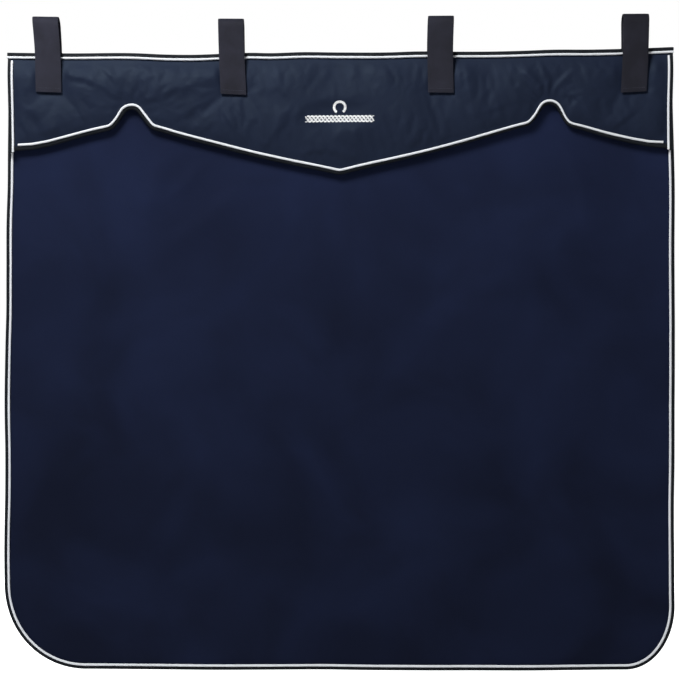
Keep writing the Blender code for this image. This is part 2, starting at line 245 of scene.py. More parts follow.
def ripples(x, z, wavelength, seed, waves=11):
    """A smooth random height of about one, made of plane waves of about this wavelength."""
    draw = np.random.default_rng(seed)
    height = np.zeros_like(x)
    for _ in range(waves):
        angle = draw.uniform(0, math.tau)
        phase = draw.uniform(0, math.tau)
        turns = math.tau / (wavelength * draw.uniform(0.7, 1.4))
        height += np.sin((x * math.cos(angle) + z * math.sin(angle)) * turns + phase)
    return height / math.sqrt(waves / 2)


def between_straps(x):
    """0 at a strap and 1 midway between two, and nearly 1 at the curtain's ends."""
    phase = np.interp(x, [-EDGE, *STRAPS, EDGE], [-0.3, 0, 1, 2, 3, 3.3])
    return np.sin(math.pi * phase) ** 2


def curve(knots, at):
    """A smooth curve through (place, value) knots, read at each place."""
    places, values = np.array(knots, float).T
    slopes = np.gradient(values, places)
    at = np.clip(at, places[0], places[-1])
    index = np.clip(np.searchsorted(places, at) - 1, 0, len(places) - 2)
    span = places[index + 1] - places[index]
    share = (at - places[index]) / span
    rest = 1 - share
    return (
        values[index] * (1 + 2 * share) * rest**2
        + values[index + 1] * (3 - 2 * share) * share**2
        + span * share * rest * (slopes[index] * rest - slopes[index + 1] * share)
    )


# How far the cloth bows forward at the ends and midway between the straps, by x
BOWS = ((-EDGE, 0.0020), (-0.374, 0.0030), (0, -0.0015), (0.374, 0.0032), (EDGE, 0.0045))
# How far up each line hangs from its flat place, by x
TOP_LINE = (
    (-EDGE, -0.0042), (-0.506, -0.0053), (-0.390, -0.0053), (-0.330, -0.0077), (-0.280, -0.0081),
    (-0.196, -0.0049), (-0.168, -0.0042), (-0.134, -0.0048), (-0.068, -0.0028), (0, -0.0033),
    (0.101, -0.0031), (0.136, -0.0018), (0.232, -0.0021), (0.290, -0.0019), (0.350, -0.0006),
    (0.400, 0.0012), (0.470, 0.0016), (0.552, 0.0038), (EDGE, 0.0062),
)
HEM_LINE = (
    (-EDGE, -0.0055), (-0.560, -0.0054), (-0.470, -0.0043), (-0.430, -0.0050), (-0.396, -0.0062),
    (-0.344, -0.0041), (-0.310, -0.0058), (-0.240, -0.0072), (-0.160, -0.0080), (-0.090, -0.0063),
    (-0.024, -0.0036), (0.044, -0.0031), (0.110, -0.0047), (0.160, -0.0052), (0.230, -0.0036),
    (0.290, -0.0008), (0.337, 0.0011), (0.393, 0.0018), (0.449, 0.0), (0.500, -0.0020),
    (0.560, -0.0009), (EDGE, -0.0006),
)
BOTTOM_LINE = (
    (-EDGE, -0.0012), (-0.420, -0.0016), (-0.260, -0.0028), (-0.030, -0.0029),
    (0.040, -0.0043), (0.270, -0.0044), (0.420, -0.0038), (EDGE, -0.0030),
)
# How far to the right each side hangs from its flat place, by z
PANEL_LEFT = (
    (-1.206, -0.0016), (-1.080, -0.0016), (-0.980, -0.0030), (-0.880, -0.0010), (-0.800, -0.0008),
    (-0.700, -0.0024), (-0.600, -0.0008), (-0.530, 0.0012), (-0.470, 0.0018), (-0.360, 0.0020),
    (-0.300, 0.0038), (-0.240, 0.0042), (-0.150, 0.0050), (-0.050, 0.0045),
)
PANEL_RIGHT = (
    (-1.206, 0.0020), (-1.100, 0.0018), (-1.000, 0.0008), (-0.900, -0.0004), (-0.810, 0.0012),
    (-0.700, 0.0020), (-0.400, 0.0012), (-0.300, 0.0014), (-0.240, 0.0), (-0.150, -0.0024),
    (-0.050, -0.0022),
)
VALANCE_LEFT = ((-0.222, 0.0080), (-0.150, 0.0068), (-0.100, 0.0056), (-0.050, 0.0045))
VALANCE_RIGHT = ((-0.222, -0.0044), (-0.150, -0.0045), (-0.100, -0.0032), (-0.050, -0.0022))

Pull = namedtuple("Pull", "place shift reach")

# How the two peaks of the hem are drawn together
PULLS = (
    Pull((-0.432, -0.172), 0.0045, 0.024),
    Pull((-0.396, -0.140), 0.0030, 0.020),
    Pull((0.360, -0.172), 0.0040, 0.022),
    Pull((0.436, -0.178), -0.0055, 0.024),
)

Crease = namedtuple("Crease", "start middle end height width")

# Drag lines in the panel, below the valance
DRAGS = (
    Crease((-0.262, -0.255), (-0.292, -0.290), (-0.325, -0.322), 0.0022, 0.012),
    Crease((-0.330, -0.235), (-0.352, -0.300), (-0.372, -0.372), 0.0026, 0.018),
    Crease((-0.180, -0.290), (-0.250, -0.360), (-0.330, -0.415), 0.0024, 0.022),
    Crease((0.190, -0.262), (0.240, -0.330), (0.275, -0.400), 0.0024, 0.020),
    Crease((0.420, -0.230), (0.450, -0.300), (0.462, -0.380), 0.0024, 0.018),
)


def crest(x, z, crease):
    """The height of a crease, which is curved, tapers to its ends and is steeper on one side."""
    start, through, end = (np.array(point) for point in (crease.start, crease.middle, crease.end))
    pull = 2 * through - (start + end) / 2
    shares = np.linspace(0, 1, 11)[:, None]
    line = (1 - shares) ** 2 * start + 2 * shares * (1 - shares) * pull + shares**2 * end
    nearest = np.full(x.shape, np.inf)
    height = np.zeros(x.shape)
    for index, (a, b) in enumerate(zip(line, line[1:])):
        step = b - a
        share = np.clip(((x - a[0]) * step[0] + (z - a[1]) * step[1]) / (step @ step), 0, 1)
        away_x = x - a[0] - share * step[0]
        away_z = z - a[1] - share * step[1]
        distance = np.hypot(away_x, away_z)
        side = np.sign(step[0] * away_z - step[1] * away_x)
        width = crease.width * (1 + 0.35 * side)
        along = (index + share) / (len(line) - 1)
        taper = np.sin(math.pi * (0.06 + 0.88 * along)) ** 0.7
        here = crease.height * taper * np.exp(-((distance / width) ** 2))
        closer = distance < nearest
        nearest = np.where(closer, distance, nearest)
        height = np.where(closer, here, height)
    return height


def hang(points, sizes, valance=False):
    """Moves flat points as the curtain hangs: bowed between its straps, drawn in at its edges and waved."""
    x, y, z = np.moveaxis(np.asarray(points, float), -1, 0)
    below = (TOP - z) / (TOP - BOTTOM)
    bow = np.interp(x, *zip(*BOWS)) * between_straps(x)
    moved_y = y - bow * (1 - 0.5 * smooth(below, 0.15, 0.5))
    rise = curve(TOP_LINE, x)
    if valance:
        share = (TOP - z) / (TOP - np.interp(x, HEM[:, 0], HEM[:, 1]))
        moved_z = z + rise + (curve(HEM_LINE, x) - rise) * share
        sides = VALANCE_LEFT, VALANCE_RIGHT
        pulls = sum(
            pull.shift * np.exp(-((x - pull.place[0]) ** 2 + (z - pull.place[1]) ** 2) / pull.reach**2)
            for pull in PULLS
        )
    else:
        moved_z = z + rise * (1 - smooth(below, 0, 0.45)) + curve(BOTTOM_LINE, x) * smooth(below, 0.4, 1)
        sides = PANEL_LEFT, PANEL_RIGHT
        pulls = 0
        free = smooth(below, 0.19, 0.34)
        flutes = np.sin(x * math.tau / 0.43 + 0.9 + 0.7 * ripples(x, z, 1.1, 3)) * (0.35 + 0.65 * below)
        sway = sizes.sway * (0.8 * flutes + 0.45 * ripples(x, z, 0.34, 11) + 0.10 * ripples(x, z, 0.11, 12))
        moved_y = moved_y + free * sway - sum(crest(x, z, crease) for crease in DRAGS)
    left, right = (curve(side, z) for side in sides)
    moved_x = x + pulls + left * smooth(-x, 0, EDGE) + right * smooth(x, 0, EDGE)
    return np.stack([moved_x, moved_y, moved_z], axis=-1)


# ---- The valance's surface ----------------------------------------------------------------------------

# How far each peak of the hem is from the middle, and how far under the rail's axis its top is
PEAK, PEAK_DOWN = 0.396, 0.157
# The middle of the emblem, and how far under the seam the shell starts and ends to swell
EMBLEM_Z = -0.163
SEAM_HELD, SEAM_RISE = 0.009, 0.044

# Folds of the shell, from left to right, as they run between the seams, the straps and the two peaks
FOLDS = (
    Crease((-0.588, -0.069), (-0.580, -0.140), (-0.545, -0.205), 0.0052, 0.017),
    Crease((-0.606, -0.158), (-0.597, -0.185), (-0.585, -0.206), 0.0028, 0.008),
    Crease((-0.552, -0.196), (-0.505, -0.172), (-0.440, -0.160), 0.0030, 0.013),
    Crease((-0.530, -0.088), (-0.478, -0.098), (-0.418, -0.128), 0.0052, 0.012),
    Crease((-0.455, -0.070), (-0.432, -0.092), (-0.410, -0.122), 0.0026, 0.008),
    Crease((-0.368, -0.139), (-0.305, -0.112), (-0.238, -0.094), 0.0055, 0.016),
    Crease((-0.352, -0.068), (-0.300, -0.086), (-0.236, -0.088), 0.0024, 0.012),
    Crease((-0.333, -0.172), (-0.290, -0.156), (-0.250, -0.128), 0.0030, 0.015),
    Crease((-0.222, -0.150), (-0.206, -0.176), (-0.184, -0.203), 0.0040, 0.009),
    Crease((-0.200, -0.146), (-0.178, -0.164), (-0.150, -0.176), 0.0024, 0.010),
    Crease((-0.143, -0.222), (-0.098, -0.172), (0.006, -0.120), 0.0052, 0.015),
    Crease((-0.160, -0.074), (-0.120, -0.098), (-0.098, -0.132), 0.0028, 0.013),
    Crease((-0.082, -0.242), (-0.038, -0.232), (0.020, -0.246), 0.0040, 0.008),
    Crease((0.052, -0.078), (0.092, -0.100), (0.140, -0.110), 0.0030, 0.014),
    Crease((0.094, -0.150), (0.118, -0.190), (0.150, -0.222), 0.0056, 0.020),
    Crease((0.236, -0.072), (0.244, -0.120), (0.256, -0.178), 0.0042, 0.011),
    Crease((0.255, -0.166), (0.306, -0.150), (0.364, -0.136), 0.0034, 0.012),
    Crease((0.290, -0.070), (0.302, -0.110), (0.290, -0.140), 0.0024, 0.013),
    Crease((0.343, -0.088), (0.366, -0.110), (0.386, -0.132), 0.0042, 0.007),
    Crease((0.374, -0.068), (0.384, -0.098), (0.392, -0.128), 0.0026, 0.006),
    Crease((0.440, -0.088), (0.420, -0.106), (0.406, -0.127), 0.0040, 0.007),
    Crease((0.418, -0.136), (0.448, -0.138), (0.474, -0.170), 0.0044, 0.008),
    Crease((0.470, -0.105), (0.500, -0.140), (0.505, -0.178), 0.0026, 0.012),
    Crease((0.508, -0.196), (0.528, -0.182), (0.556, -0.164), 0.0044, 0.009),
    Crease((0.596, -0.072), (0.592, -0.120), (0.580, -0.170), 0.0036, 0.012),
)
STRAP_REACH = -BOX["strap_1_tongue"][0].z
STRAP_CROWN = 0.016

Askew = namedtuple("Askew", "crown seam end rise fall")

# How far to the right each strap hangs at its crown, seam and free end, and how far up at crown and free end
STRAPS_ASKEW = (
    Askew(-0.0004, 0.0055, 0.0078, -0.0010, -0.0024),
    Askew(-0.0081, -0.0062, -0.0026, -0.0047, -0.0065),
    Askew(-0.0058, -0.0079, -0.0069, 0.0008, -0.0032),
    Askew(0.0037, 0.0016, -0.0025, 0.0045, -0.0021),
)


def strap_middle(number, z):
    """Where the middle of a strap's front runs at each height, because no strap hangs quite straight."""
    askew = STRAPS_ASKEW[number]
    knots = (-STRAP_REACH, askew.end), (TOP, askew.seam), (STRAP_CROWN, askew.crown)
    return STRAPS[number] + curve(knots, z)


def strap_rise(number, z):
    """How far up a strap's front hangs from its flat place at each height."""
    askew = STRAPS_ASKEW[number]
    return askew.fall + (askew.rise - askew.fall) * smooth(z, -STRAP_REACH, 0)


def fan(x, z):
    """Short pleats that run into the two peaks of the hem."""
    height = np.zeros_like(x)
    for side, pleats, turn in ((-1, 13, 0.4), (1, 15, 1.9)):
        across = x - side * PEAK
        up = z + PEAK_DOWN
        angle = np.arctan2(across, up)
        reach = np.hypot(across, up)
        near = smooth(reach, 0.010, 0.020) * np.exp(-((reach / 0.042) ** 2)) * smooth(up, -0.012, 0.004)
        height += near * np.sin(pleats * angle + turn + 1.6 * ripples(x, z, 0.06, 21))
    return 0.0017 * height


def loose(x, z):
    """0 where the valance is held by a seam, a strap or the emblem, and 1 where it is free to swell."""
    edge = np.interp(x, HEM[:, 0], HEM[:, 1])
    slope = np.interp(x, HEM[:, 0], np.gradient(HEM[:, 1], HEM[:, 0]))
    above_hem = (z - edge) / np.sqrt(1 + slope**2) - HEM_CORD_INSET.mean()
    free = smooth(TOP - z, 0.012, 0.046) * smooth(above_hem, 0.001, 0.022)
    free = free * smooth(EDGE - np.abs(x), 0.008, 0.030)
    for number in range(len(STRAPS)):
        beside = np.abs(x - strap_middle(number, z)) - WEBBING / 2
        below = smooth(-z, STRAP_REACH - 0.002, STRAP_REACH + 0.016)
        free = free * (1 - (1 - smooth(beside, -0.004, 0.014)) * (1 - below))
    badge = np.exp(-((x / 0.078) ** 4) - ((z - EMBLEM_Z) / 0.030) ** 4)
    return free * (1 - 0.75 * badge)


def seam_profile(z):
    """0 in the top seam and 1 where the valance has its full thickness."""
    return 1 - (1 - np.clip((TOP - z - SEAM_HELD) / SEAM_RISE, 0, 1)) ** 2


def drawn_y(x, z, sizes):
    """The flat depth of the valance's front face with its drawn folds, before the shell is blown up."""
    rest = SEAM_FRONT + (FULL_FRONT - SEAM_FRONT) * seam_profile(z)
    creases = sum(crest(x, z, crease) for crease in FOLDS) + fan(x, z)
    crumple = sizes.crumple * (1 - 1.6 * np.abs(ripples(x, z, 0.060, 31)) + 0.5 * ripples(x, z, 0.022, 32))
    swell = sizes.swell * (0.75 + 0.45 * ripples(x, z, 0.15, 33))
    return rest - loose(x, z) * (swell + sizes.folds * creases + crumple)


def settled(points, faces, pinned, frames=20):
    """Where a pinned cloth comes to rest when it has a little too much width and air presses it outwards."""
    scene = bpy.context.scene
    mesh = bpy.data.meshes.new("settling")
    mesh.from_pydata(points.tolist(), [], faces)
    cloth = bpy.data.objects.new("settling", mesh)
    scene.collection.objects.link(cloth)
    group = cloth.vertex_groups.new(name="pinned")
    for index in np.flatnonzero(pinned):
        group.add([int(index)], 1.0, "REPLACE")
    modifier = cloth.modifiers.new("settling", "CLOTH")
    settings = modifier.settings
    settings.quality = 6
    settings.mass = 0.12
    settings.tension_stiffness = settings.compression_stiffness = 12
    settings.shear_stiffness = 6
    settings.bending_stiffness = 0.25
    settings.vertex_group_mass = group.name
    settings.use_pressure = True
    settings.uniform_pressure_force = 4
    settings.shrink_min = -0.003
    settings.effector_weights.gravity = 0
    modifier.collision_settings.use_collision = False
    modifier.point_cache.frame_start = 1
    modifier.point_cache.frame_end = frames
    for number in range(1, frames + 1):
        scene.frame_set(number)
    rest = cloth.evaluated_get(bpy.context.evaluated_depsgraph_get()).to_mesh()
    places = np.empty(len(rest.vertices) * 3)
    rest.vertices.foreach_get("co", places)
    bpy.data.objects.remove(cloth)
    bpy.data.meshes.remove(mesh)
    scene.frame_set(1)
    return places.reshape(-1, 3)


PUFF_ROWS, PUFF_COLUMNS = 36, 241
PUFF_MOST = 0.006
PUFFED = {}


def puff_grid():
    """x and z of the coarse grid on which the shell settles."""
    side = PLY_EDGE - GAP
    x = np.linspace(-side, side, PUFF_COLUMNS)
    low = np.interp(x, HEM[:, 0], HEM[:, 1])
    top = TOP - TAPE_OVER
    shares = np.linspace(0, 1, PUFF_ROWS)[:, None]
    return np.broadcast_to(x, (PUFF_ROWS, PUFF_COLUMNS)), top + (low - top) * shares


def puff(sizes):
    """How far the shell moves forward as it settles, over the coarse grid."""
    if not PUFFED:
        x, z = puff_grid()
        y = drawn_y(x, z, sizes)
        points = np.stack([x, y, z], axis=-1).reshape(-1, 3)
        moved = settled(points, grid_faces(PUFF_ROWS, PUFF_COLUMNS), loose(x, z).ravel() < 0.08)
        forward = np.clip((points - moved)[:, 1], -PUFF_MOST / 2, PUFF_MOST).reshape(x.shape)
        PUFFED["forward"] = forward * smooth(loose(x, z), 0.05, 0.40)
    return PUFFED["forward"]


def shell_y(x, z, sizes):
    """The flat depth of the valance's front: pinched in the top seam, plump below it, folded and settled."""
    grid_x, grid_z = puff_grid()
    column = np.interp(x, grid_x[0], np.arange(PUFF_COLUMNS))
    low = np.interp(x, grid_x[0], grid_z[-1])
    row = np.clip((grid_z[0, 0] - z) / (grid_z[0, 0] - low), 0, 1) * (PUFF_ROWS - 1)
    left = np.minimum(column.astype(int), PUFF_COLUMNS - 2)
    above = np.minimum(row.astype(int), PUFF_ROWS - 2)
    right_share, low_share = column - left, row - above
    forward = puff(sizes)
    upper = forward[above, left] * (1 - right_share) + forward[above, left + 1] * right_share
    lower = forward[above + 1, left] * (1 - right_share) + forward[above + 1, left + 1] * right_share
    return drawn_y(x, z, sizes) - upper * (1 - low_share) - lower * low_share


def back_y(z):
    """The flat depth of the valance's back face."""
    return SEAM_BACK + (FULL_BACK - SEAM_BACK) * seam_profile(z)


# ---- Mesh building ------------------------------------------------------------------------------------


def piece(name, points, faces, finish, cloth, crisp=math.radians(55)):
    """A mesh object, which keeps its points' places in the flat cloth for its finish to be woven along."""
    mesh = bpy.data.meshes.new(name)
    mesh.from_pydata(np.asarray(points, float).reshape(-1, 3).tolist(), [], faces)
    woven = mesh.attributes.new("cloth", "FLOAT_VECTOR", "POINT")
    woven.data.foreach_set("vector", np.asarray(cloth, np.float32).ravel())
    mesh.materials.append(finish)
    mesh.shade_smooth()
    mesh.set_sharp_from_angle(angle=crisp)
    made = bpy.data.objects.new(name, mesh)
    bpy.context.scene.collection.objects.link(made)
    return made


def grid_faces(rows, columns, first=0, flip=False):
    """Quads over a grid of points, counted from the first."""
    corner = first + np.arange(rows - 1)[:, None] * columns + np.arange(columns - 1)
    quads = np.stack([corner, corner + columns, corner + columns + 1, corner + 1], axis=-1).reshape(-1, 4)
    return (quads[:, ::-1] if flip else quads).tolist()


def ply(name, front, back, finish, cloth):
    """A closed cloth between two grids of points, whose rows run down and whose columns run to the right."""
    rows, columns = front.shape[:2]
    count = rows * columns
    faces = grid_faces(rows, columns) + grid_faces(rows, columns, count, flip=True)
    index = np.arange(count).reshape(rows, columns)
    rim = np.concatenate([index[0, :-1], index[:-1, -1], index[-1, :0:-1], index[:0:-1, 0]])
    following = np.roll(rim, -1)
    faces += np.stack([rim, following, following + count, rim + count], axis=-1).tolist()
    return piece(name, np.concatenate([front.reshape(-1, 3), back.reshape(-1, 3)]), faces, finish,
                 np.concatenate([cloth.reshape(-1, 3)] * 2))


def sleeve(name, rings, finish, cloth):
    """A closed body through rings of points, capped at both ends. Each ring runs the same way round."""
    count, around = rings.shape[:2]
    index = np.arange(count * around).reshape(count, around)
    following = np.roll(index, -1, axis=1)
    sides = np.stack([index[:-1], following[:-1], following[1:], index[1:]], axis=-1).reshape(-1, 4)
    faces = sides.tolist() + [index[0, ::-1].tolist(), index[-1].tolist()]
    return piece(name, rings, faces, finish, cloth)


def flat(path, y):
    """A path of x and z as points in space at the depth y, which may vary along it."""
    return points_of(path[:, 0], y, path[:, 1])


def unit_rings(along, corners):
    """The angles of a ring's corners, the ways into the cloth and the rings round each unit direction."""
    depth = np.array([0, 1, 0]) - along * along[:, [1]]
    depth /= np.linalg.norm(depth, axis=1, keepdims=True)
    across = np.cross(along, depth)
    angles = np.linspace(0, math.tau, corners, endpoint=False)
    return angles, depth, np.cos(angles)[:, None] * across[:, None] + np.sin(angles)[:, None] * depth[:, None]


def cord_rings(path, radius):
    """Rings round a path of points, for a piping cord that lies in front of a cloth."""
    along, lengths = heading(path), lengths_of(path)
    corners = 14
    angles, _, ring = unit_rings(along, corners)
    unevenness = 0.025
    uneven = 1 + unevenness * np.sin(lengths * 71) * np.sin(lengths * 29 + 1)
    reach = radius * uneven[:, None, None]
    return path[:, None] + ring * reach, points_of(angles * radius, 0, lengths[:, None])


def tape_rings(path, faces, reaches):
    """Rings of a tape that is folded over an edge: a path of x and z with the cloth to its left.

    faces are the depths of the cloth's front and back at each point, and reaches the tape's two legs.
    """
    front, back = (np.broadcast_to(face, len(path)) for face in faces)
    half = (back - front)[:, None] / 2 + GAP + TAPE / 2
    centre = (front + back)[:, None] / 2
    turns = np.linspace(-math.pi / 2, math.pi / 2, 9)
    deepest_fold, leg_start, leg_points, leg_bow = 0.0022, 0.0030, 5, 0.00012
    fold = np.minimum(half, deepest_fold)
    legs = [np.linspace(np.broadcast_to(reach, len(path)), leg_start, leg_points).T for reach in reaches]
    bow = np.sin(np.linspace(0, math.pi, leg_points)) * leg_bow
    inset = np.concatenate([legs[0], TAPE / 2 + fold * (1 - np.cos(turns)), legs[1][:, ::-1]], axis=1)
    depth = np.concatenate([centre - half - bow, centre + half * np.sin(turns), centre + half + bow], axis=1)
    step_in = np.gradient(inset, axis=1)
    step_out = np.gradient(depth, axis=1)
    size = np.hypot(step_in, step_out)
    out = np.stack([-step_out / size, step_in / size]) * TAPE / 2
    ring_inset = np.concatenate([inset + out[0], (inset - out[0])[:, ::-1]], axis=1)
    ring_depth = np.concatenate([depth + out[1], (depth - out[1])[:, ::-1]], axis=1)
    normals, lengths = inward(path), lengths_of(path)
    ring_x, ring_z = (path[:, [axis]] + normals[:, [axis]] * ring_inset for axis in (0, 1))
    return points_of(ring_x, ring_depth, ring_z), points_of(ring_inset + ring_depth, 0, lengths[:, None])


def tape_faces(faces):
    """The depths of a tape's two outer faces, over the faces of the cloth."""
    return faces[0] - GAP - TAPE, faces[1] + GAP + TAPE


def binding(name, path, faces, reaches, sizes, colours, valance=False):
    """A hung tape along a path of x and z."""
    rings, cloth = tape_rings(path, faces, reaches)
    return sleeve(name, hang(rings, sizes, valance), finish_of("binding", colours), cloth)


def piping(name, path, depth, sizes, colours, valance=False):
    """A hung cord along a path of x and z, at a depth."""
    rings, cloth = cord_rings(flat(path, depth), CORD)
    return sleeve(name, hang(rings, sizes, valance), finish_of("piping", colours), cloth)


def stitches(name, rows, thread, finish):
    """Sewing stitches as one mesh. Each row is a list of (start, end) points of its stitches."""
    spans = np.array([span for row in rows for span in row], float)
    start, end = spans[:, 0], spans[:, 1]
    span = end - start
    sides = 5
    _, depth, ring = unit_rings(span / np.linalg.norm(span, axis=1, keepdims=True), sides)
    radius = thread / 2
    profile = ((0.10, 0.62), (0.32, 1.0), (0.68, 1.0), (0.90, 0.62))
    rings = [(start + span * share)[:, None] + radius * width * ring for share, width in profile]
    sunk = depth * radius * 0.6
    points = np.concatenate([(start + sunk)[:, None], *rings, (end + sunk)[:, None]], axis=1)
    one = []
    for first in range(1, 1 + sides * (len(profile) - 1), sides):
        for corner in range(sides):
            a, b = first + corner, first + (corner + 1) % sides
            one.append((a, b, b + sides, a + sides))
    last = 1 + (len(profile) - 1) * sides
    caps = [((corner + 1) % sides + 1, corner + 1, 0) for corner in range(sides)]
    caps += [(last + corner, last + (corner + 1) % sides, last + sides) for corner in range(sides)]
    each = points.shape[1]
    starts = range(0, len(spans) * each, each)
    faces = [tuple(corner + first for corner in face) for first in starts for face in one + caps]
    cloth = np.broadcast_to(np.linspace(0, 1, each)[:, None], (len(spans), each, 1)) * [0, 0, 0.01]
    return piece(name, points, faces, finish, cloth + points * [1, 1, 0])


STITCH_SHOWN = 0.72


def sewn_row(path, pitch):
    """(start, end) points of the stitches along a path of points."""
    lengths = lengths_of(path)
    starts = np.arange(pitch / 2, lengths[-1] - pitch, pitch)

    def at(distance):
        return np.column_stack([np.interp(distance, lengths, path[:, axis]) for axis in range(3)])

    return list(zip(at(starts), at(starts + pitch * STITCH_SHOWN)))


def seam(path, depth, sizes, valance=False):
    """The stitches of a hung seam along a path of x and z, at a depth."""
    return sewn_row(hang(flat(path, depth), sizes, valance), sizes.stitch)


# ---- Finishes -----------------------------------------------------------------------------------------


class Wire:
    """The number that a socket carries. Arithmetic on it adds Math nodes."""

    def __init__(self, nodes, socket):
        self.nodes = nodes
        self.socket = socket

    def math(self, operation, *values):
        sockets = dict(enumerate((self, *values)))
        made = self.nodes.node("ShaderNodeMath", {"operation": operation}, sockets)
        return Wire(self.nodes, made.outputs[0])

    def __add__(self, other):
        return self.math("ADD", other)

    def __radd__(self, other):
        return self.math("ADD", other)

    def __sub__(self, other):
        return self.math("SUBTRACT", other)

    def __rsub__(self, other):
        return (self * -1) + other

    def __mul__(self, other):
        return self.math("MULTIPLY", other)

    def __rmul__(self, other):
        return self.math("MULTIPLY", other)

    def __pow__(self, other):
        return self.math("POWER", other)

    def __abs__(self):
        return self.math("ABSOLUTE")

    def sin(self):
        return self.math("SINE")

    def clip(self):
        """The number kept between 0 and 1."""
        made = self.math("ADD", 0.0)
        made.socket.node.use_clamp = True
        return made


class Nodes:
    """A node tree, and the one way to put nodes in it."""

    def __init__(self, tree):
        self.tree = tree

    def set(self, node, values):
        for name, value in values.items():
            socket = node.inputs[name]
            if isinstance(value, Wire):
                value = value.socket
            if isinstance(value, bpy.types.NodeSocket):
                self.tree.links.new(value, socket)
            else:
                socket.default_value = value

    def node(self, kind, settings=None, values=None):
        """Any node: its type, its settings, which come first, and the values or links of its sockets."""
        made = self.tree.nodes.new(kind)
        for name, value in (settings or {}).items():
            setattr(made, name, value)
        self.set(made, values or {})
        return made


class Finish(Nodes):
    """A material with its shader, and the ways to wire patterns into it."""

    def __init__(self, name, tint, roughness, **fixed):
        self.material = bpy.data.materials.new("curtain " + name)
        self.material.use_nodes = True
        super().__init__(self.material.node_tree)
        self.shader = self.tree.nodes["Principled BSDF"]
        self.tint = (*tint, 1)
        self.set(self.shader, {"Base Color": self.tint, "Roughness": roughness, **fixed})
        place = self.node("ShaderNodeAttribute", {"attribute_name": "cloth"})
        self.place = place.outputs["Vector"]
        self.across, self.deep, self.along = (
            Wire(self, socket) for socket in self.node("ShaderNodeSeparateXYZ", {}, {0: self.place}).outputs
        )

    def noise(self, scale, detail=3.0, distortion=0.0, stretch=(1, 1, 1)):
        """A noise from 0 to 1 over the flat cloth. Its scale is in patches per metre."""
        stretched = self.node("ShaderNodeVectorMath", {"operation": "MULTIPLY"}, {0: self.place, 1: stretch})
        sockets = {"Vector": stretched.outputs[0], "Scale": scale, "Detail": detail, "Distortion": distortion}
        return Wire(self, self.node("ShaderNodeTexNoise", {}, sockets).outputs["Fac"])

    def lit(self, share):
        """The finish's own colour, made lighter or darker by a share."""
        return tuple(min(1, channel * share) for channel in self.tint[:3]) + (1,)

    def shade(self, base, other, mask):
        """Paints a colour that goes from base to other as the mask goes from 0 to 1."""
        mixed = self.node("ShaderNodeMix", {"data_type": "RGBA"}, {"Factor": mask, 6: base, 7: other})
        self.set(self.shader, {"Base Color": mixed.outputs[2]})

    def rough(self, value):
        self.set(self.shader, {"Roughness": value})

    def relief(self, *layers):
        """Bumps of (height from 0 to 1, depth in metres), one on top of the other."""
        below = {}
        for height, depth in layers:
            sockets = {"Height": height, "Distance": depth, "Strength": 1.0, **below}
            below = {"Normal": self.node("ShaderNodeBump", {}, sockets).outputs["Normal"]}
        self.set(self.shader, below)


def woven(finish, pitch):
    """A plain weave from 0 to 1: the threads pass over and under each other, one pitch apart."""
    warp = (finish.across * (math.pi / pitch)).sin()
    weft = (finish.along * (math.pi / pitch)).sin()
    return warp * weft * 0.5 + 0.5


def ribbed(finish, pitch):
    """Ribs from 0 to 1 that run along a tape or a webbing."""
    return (finish.across * (math.tau / pitch)).sin() * 0.5 + 0.5


def canvas_finish(colours):
    finish = Finish("canvas", colours.canvas, 0.80, **{"Specular IOR Level": 0.07})
    cloud = finish.noise(5.0, 4.0, 0.6)
    # Lighter towards the top of the panel: painted light, as if it falls from above
    painted_top_light = ((finish.along + 1.2) * (1 / 0.95)).clip() ** 1.6
    slub = finish.noise(130.0, 2.0, 0.0, (1, 1, 9))
    grain = finish.noise(900.0, 2.0)
    weave = woven(finish, 0.0009)
    tone = (painted_top_light * 0.43 + cloud * 1.10 + slub * 0.14 + grain * 0.12 + weave * 0.10 - 0.56).clip()
    finish.shade(finish.lit(0.50), finish.lit(1.42), tone)
    finish.rough(cloud * 0.12 + 0.76)
    finish.relief((weave, 0.00003), (slub, 0.00001), (finish.noise(24.0, 1.0, 0.4), 0.0010))
    return finish.material


def lining_finish(colours):
    finish = Finish("lining", colours.lining, 0.72, **{"Specular IOR Level": 0.22})
    weave = woven(finish, 0.0005)
    cloud = finish.noise(7.0, 3.0, 0.4)
    finish.shade(finish.lit(0.78), finish.lit(1.25), (cloud + weave * 0.2 - 0.1).clip())
    finish.rough(cloud * 0.14 + 0.64)
    finish.relief((weave, 0.000015), (finish.noise(38.0, 2.0, 0.8), 0.0006))
    return finish.material


def nylon_finish(colours):
    finish = Finish("nylon", colours.nylon, 0.62, **{"Specular IOR Level": 0.16})
    finish.set(finish.shader, {"Specular Tint": (0.60, 0.80, 1.0, 1)})
    weave = woven(finish, 0.00035)
    cloud = finish.noise(16.0, 4.0, 0.8)
    crease = abs(finish.noise(30.0, 2.0, 1.2) * 2 - 1) * 1.6
    fine = abs(finish.noise(85.0, 1.0, 0.9) * 2 - 1)
    # The colour is darker along the valleys of the crease relief: painted shade in the creases
    finish.shade(finish.lit(0.82), finish.lit(1.22), (cloud * 0.8 + crease * 0.25).clip())
    finish.rough(cloud * 0.12 + 0.56)
    finish.relief((weave, 0.000008), (crease.clip(), 0.00015), (fine.clip(), 0.00004))
    return finish.material


def binding_finish(colours):
    finish = Finish("binding", colours.binding, 0.70, **{"Specular IOR Level": 0.12})
    rib = (finish.along * (math.tau / 0.0011)).sin() * 0.5 + 0.5
    weave = rib * 0.7 + ribbed(finish, 0.0009) * 0.3
    wear_and_shade = finish.noise(60.0, 4.0, 0.5)
    finish.shade(finish.lit(0.75), finish.lit(1.9), (wear_and_shade * 0.9 + weave * 0.25 - 0.2).clip())
    finish.rough(wear_and_shade * 0.16 + 0.62)
    finish.relief((weave, 0.00004), (wear_and_shade, 0.0001))
    return finish.material


